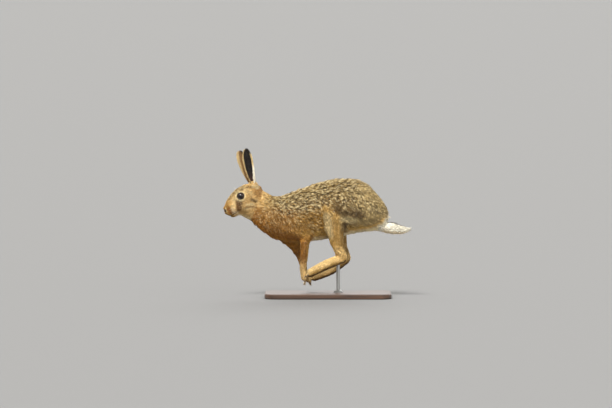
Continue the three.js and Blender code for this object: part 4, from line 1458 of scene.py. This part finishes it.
@dataclass
class Eyes:
    """The two eyes with their dark lid margins."""

    pupil: float = 0.56  # radians from the eye's axis
    iris: float = 0.86
    bulge: float = 0.5  # how far the cornea stands out, in millimetres
    lid_radius: float = 1.15
    lid_share: float = 0.985  # the margin's size as a share of the opening
    ball_hue: str = "1c100a"
    iris_hue: str = "3b2110"
    pupil_hue: str = "060403"
    edge_hue: str = "0f0806"
    lid_hue: str = "241611"

    def build(self) -> list[bpy.types.Object]:
        """Builds both balls and both lid margins.

        Returns:
            The four pieces.
        """
        pieces = []
        for name, side in SIDES.items():
            pieces.append(self.ball(name, side))
            pieces.append(self.lid(name, side))
        return pieces

    def ball(self, name: str, side: int) -> bpy.types.Object:
        """Builds one eyeball with its iris and pupil.

        Args:
            name: left or right.
            side: -1 or 1.

        Returns:
            The eyeball.
        """
        deselect()
        centre, basis = EYE.centre(HEAD, side), EYE.basis(HEAD, side)
        bpy.ops.mesh.primitive_uv_sphere_add(segments=64, ring_count=40, radius=EYE.radius * MM)
        obj = bpy.context.view_layer.objects.active
        obj.name = obj.data.name = f"eyeball_{name}"
        local = read_rows(obj.data.vertices, "co")
        angle = np.arccos(np.clip(unit(local)[:, 2], -1, 1))
        local[:, 2] += self.bulge * MM * rise(self.iris, 0.1, angle)
        frame_rows = np.array([basis[1], np.cross(basis[0], basis[1]), basis[0]])
        obj.data.vertices.foreach_set("co", (to_row(centre) + local @ frame_rows).astype(np.float32).ravel())
        obj.data.update()
        around = np.arctan2(local[:, 1], local[:, 0])
        flecks = 0.5 + 0.5 * np.sin(around * 24 + np.sin(around * 7) * 2)
        set_marking(obj, layers(
            tone(self.ball_hue),
            (tone(self.iris_hue), rise(self.iris, 0.66, angle) * (0.55 + 0.3 * flecks)),
            (tone(self.pupil_hue), rise(self.pupil + 0.07, self.pupil, angle)),
            (tone(self.edge_hue), rise(self.iris - 0.08, self.iris + 0.1, angle)),
        ))
        finish = GlossFinish("eye_gloss", roughness=0.12, coat=0.3, specular=0.35)
        obj.data.materials.append(finish.material())
        select(obj)
        bpy.ops.object.shade_smooth()
        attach(obj, BODY)
        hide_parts(f"eye_{name}")
        return obj

    def lid(self, name: str, side: int) -> bpy.types.Object:
        """Builds the dark margin of one eye's lids.

        Args:
            name: left or right.
            side: -1 or 1.

        Returns:
            The margin.
        """
        centre, basis = EYE.centre(HEAD, side), EYE.basis(HEAD, side)
        turn = np.arange(56) / 56 * 2 * math.pi
        corner = 1 + 0.05 * np.cos(turn) ** 8
        along = np.cos(turn) * EYE.open_along * corner
        up = np.sin(turn) * EYE.open_up
        along, up = along * self.lid_share, up * self.lid_share
        gaze = np.sqrt(np.clip(1 - along ** 2 - up ** 2, 0.02, 1))
        ways = unit(np.stack([gaze, along, up], 1) @ basis)
        path = centre + ways * (EYE.radius + 0.35)
        points, faces = tube(path, self.lid_radius + 0.2 * np.sin(turn), 10, closed=True)
        part = (points, faces, np.tile(tone(self.lid_hue), (len(points), 1)))
        finish = GlossFinish("lid_skin", roughness=0.38, bump=0.3, bump_scale=900).material()
        return tube_piece(f"lid_margin_{name}", [part], finish)


@dataclass(frozen=True)
class Toes:
    """One foot's toes, as the frame's solids have them."""

    heel: tuple
    ball: tuple
    spacing: float
    lengths: tuple
    drop: float
    claw: float

    def tips(self, side: int) -> list[tuple[np.ndarray, np.ndarray]]:
        """Each toe's tip and the way it points, in the hare's frame.

        Args:
            side: -1 for the left, 1 for the right.

        Returns:
            A place and a way for each toe.
        """
        heel, ball = (np.array([x, side * y, z]) for x, y, z in (self.heel, self.ball))
        ahead = unit(ball - heel)
        made = []
        for n, length in enumerate(self.lengths):
            tip = ball + ahead * length
            tip[1] += side * (n - 1.5) * self.spacing * 1.12
            tip[2] -= length * self.drop
            made.append((tip, ahead))
        return made


FEET = {
    "hind_left": (-1, Toes((-36, 54.5, 65.5), (-54, 54.5, 56), 7.6, (9, 14, 14.5, 10), 0.12, 7.7)),
    "hind_right": (1, Toes((-21, 54.5, 44.5), (-42, 54.5, 36), 7.6, (9, 14, 14.5, 10), 0.12, 7.7)),
    "fore_left": (-1, Toes((-76, 19, 64), (-73, 17.5, 41), 5.8, (9, 13.5, 14, 10), 0.06, 6.5)),
    "fore_right": (1, Toes((-74, 19, 55), (-62, 17.5, 34), 5.8, (9, 13.5, 14, 10), 0.06, 6.5)),
}


@dataclass
class Claws:
    """Curved horn claws, four to a foot."""

    radius: float = 1.5
    droop: float = 3.4  # how far a claw's tip bends down
    sides: int = 10
    steps: int = 9
    horn: str = "4a3a30"
    worn: str = "a08a72"

    def build(self) -> list[bpy.types.Object]:
        """Builds one piece for each foot's claws.

        Returns:
            The four pieces.
        """
        finish = GlossFinish("claw_horn", roughness=0.32, coat=0.2, bump=0.25, bump_scale=700).material()
        return [
            tube_piece(f"claws_{name}", [self.claw(*at, toes.claw) for at in toes.tips(side)], finish)
            for name, (side, toes) in FEET.items()
        ]

    def claw(self, tip: np.ndarray, ahead: np.ndarray, length: float) -> tuple:
        """One claw's points, faces and colours.

        Args:
            tip: the toe's tip.
            ahead: the way that the toe points.
            length: the claw's length.

        Returns:
            The points, the faces and the colours.
        """
        lift = unit(np.array([0, 0, 1.0]) - ahead * ahead[2])
        share = np.linspace(0, 1, self.steps)
        path = tip + ahead * (share * (length + 3) - 1.5)[:, None]
        path -= lift * (self.droop * share ** 2)[:, None]
        radii = self.radius * (1 - share ** 1.6) + 0.12
        points, faces = tube(path, radii, self.sides)
        pale = rise(0.5, 1, np.repeat(share, self.sides)) * 0.6
        return points, faces, paint(tone(self.horn), tone(self.worn), pale)


@dataclass
class Whiskers:
    """Fine tapered whiskers from the lip pads and over the eyes."""

    seed: int = 5
    rows: int = 4
    in_row: int = 4
    radius: float = 0.17
    pale: str = "d8ccb2"
    dark: str = "3a2f27"
    pale_share: float = 0.6

    def build(self) -> list[bpy.types.Object]:
        """Builds one piece for each side.

        Returns:
            The two pieces.
        """
        finish = GlossFinish("whisker_hair", roughness=0.4).material()
        rng = np.random.default_rng(self.seed)
        pieces = []
        for name, side in SIDES.items():
            parts = []
            starts = [
                ((43 + 3.4 * c, -13 - 3.2 * r), (-0.35 - 0.1 * c, -0.55 * r / 3 - 0.05, 0.85), 38 - 4 * c)
                for r in range(self.rows) for c in range(self.in_row)
            ]
            starts += [((6 - 3 * c, 14), (-0.2, 0.75, 0.6), 20) for c in range(3)]
            for (s, t), way, length in starts:
                points, faces = self.whisker(s, t, side, np.array(way), length * rng.uniform(0.75, 1.2), rng)
                hue = tone(self.pale if rng.random() < self.pale_share else self.dark)
                parts.append((points, faces, np.tile(hue, (len(points), 1))))
            pieces.append(tube_piece(f"whiskers_{name}", parts, finish))
        return pieces

    def whisker(self, s: float, t: float, side: int, way: np.ndarray, length: float,
                rng: np.random.Generator) -> tuple[np.ndarray, np.ndarray]:
        """One whisker's points and faces, rooted just under the skin at its place on the head.

        Args:
            s: its root along the head.
            t: its root's height on the head.
            side: -1 or 1.
            way: the way that it points, in the head's frame.
            length: its length.
            rng: the seeded source of draws.

        Returns:
            The points and the faces.
        """
        half = 13.5 - 0.28 * (s - 43) if s > 30 else 20
        start = HEAD.place(s, t, side * (half - 3))
        ahead = unit(np.array([way[0], way[1] + rng.normal(0, 0.08), side * way[2]]) @ HEAD.axes())
        share = np.linspace(0, 1, 9)[:, None]
        path = start + ahead * share * length + np.array([2.0, 0, -5.0]) * share ** 2 * length / 30
        return tube(path, self.radius * (1 - share[:, 0]) + 0.05, 5)


# Stand and studio


@dataclass
class Stand:
    """The display stand's own nodes, with their finishes."""

    def dress(self) -> None:
        """Gives the base, rod and collar their materials."""
        finishes = {
            "stand_base": WoodFinish(), "stand_rod": SteelFinish(),
            "stand_collar": SteelFinish("turned_steel"),
        }
        for name, finish in finishes.items():
            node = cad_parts[name]
            node.data.materials.clear()
            node.data.materials.append(finish.material())


class Light(Enum):
    """The studio's soft suns: the way that each shines from, its spread in degrees and its strength."""

    KEY = ((-1.0, -2.4, 3.4), 18, 4.9)
    FILL = ((2.4, -3.4, 1.2), 60, 0.8)
    REAR = ((0.6, 3.2, 2.8), 40, 1.1)

    def lamp(self) -> bpy.types.Object:
        """Builds the lamp, turned towards the hare.

        Returns:
            The lamp.
        """
        place, spread, strength = self.value
        data = bpy.data.lights.new(self.name.lower(), "SUN")
        data.energy, data.angle = strength, math.radians(spread)
        lamp = bpy.data.objects.new(self.name.lower(), data)
        lamp.location = place
        lamp.rotation_mode = "QUATERNION"
        lamp.rotation_quaternion = (-Vector(place)).to_track_quat("-Z", "Y")
        bpy.context.scene.collection.objects.link(lamp)
        return lamp


@dataclass
class Studio:
    """Pale floor, soft light and the camera at the photograph's angle."""

    target: tuple = (-0.0624, 0.0, 0.266)
    distance: float = 14.5
    elevation: float = 3
    lens: float = 300
    sensor: float = 36
    sight: float = 500  # how far the camera sees, in metres
    floor: float = 400
    floor_colour: tuple = (0.15, 0.148, 0.143, 1)
    sky: float = 1.0
    sky_colour: tuple = (1, 0.99, 0.97, 1)

    def build(self) -> None:
        """Builds the floor, the lights and the camera."""
        deselect()
        bpy.ops.mesh.primitive_plane_add(size=self.floor, location=(0, 0, 0))
        ground = bpy.context.view_layer.objects.active
        ground.name = "floor"
        mat = bpy.data.materials.new("pale_floor")
        mat.use_nodes = True
        shader = mat.node_tree.nodes["Principled BSDF"]
        shader.inputs["Base Color"].default_value = self.floor_colour
        shader.inputs["Roughness"].default_value = 0.85
        ground.data.materials.append(mat)
        for light in Light:
            light.lamp()
        world = bpy.data.worlds.new("studio")
        world.use_nodes = True
        sky = world.node_tree.nodes["Background"].inputs
        sky["Color"].default_value, sky["Strength"].default_value = self.sky_colour, self.sky
        bpy.context.scene.world = world
        bpy.context.scene.view_settings.view_transform = "Standard"  # as the photo's camera shows tones
        data = bpy.data.cameras.new("camera")
        data.lens, data.sensor_width, data.clip_end = self.lens, self.sensor, self.sight
        camera = bpy.data.objects.new("camera", data)
        lift = math.radians(self.elevation)
        back = Vector((0, -math.cos(lift), math.sin(lift)))
        camera.location = Vector(self.target) + back * self.distance
        camera.rotation_mode = "QUATERNION"
        camera.rotation_quaternion = (-back).to_track_quat("-Z", "Y")
        bpy.context.scene.collection.objects.link(camera)
        bpy.context.scene.camera = camera


def report(name: str, pieces: list) -> None:
    """Logs a sub-assembly's pieces and triangles.

    Args:
        name: the sub-assembly.
        pieces: its pieces.
    """
    faces = sum(len(o.data.polygons) for o in pieces)
    log.info("%s: %d pieces, %d faces", name, len(pieces), faces)


def main() -> None:
    """Builds and dresses every sub-assembly in order."""
    logging.basicConfig(level=logging.INFO, format="%(asctime)s %(name)s %(message)s")
    markings = Markings()
    skin = Skin()
    report("skin", [skin.build()])
    skin.dress(FurFinish("skin_fur", bump=0.5), markings)
    log.info("skin dressed")
    coat = Coat(skin)
    report("coat", coat.build(markings, FurFinish("tuft_hair")))
    report("eyes", Eyes().build())
    report("claws", Claws().build())
    report("whiskers", Whiskers().build())
    Stand().dress()
    Studio().build()
    deselect()


if __name__ == "__main__":
    main()
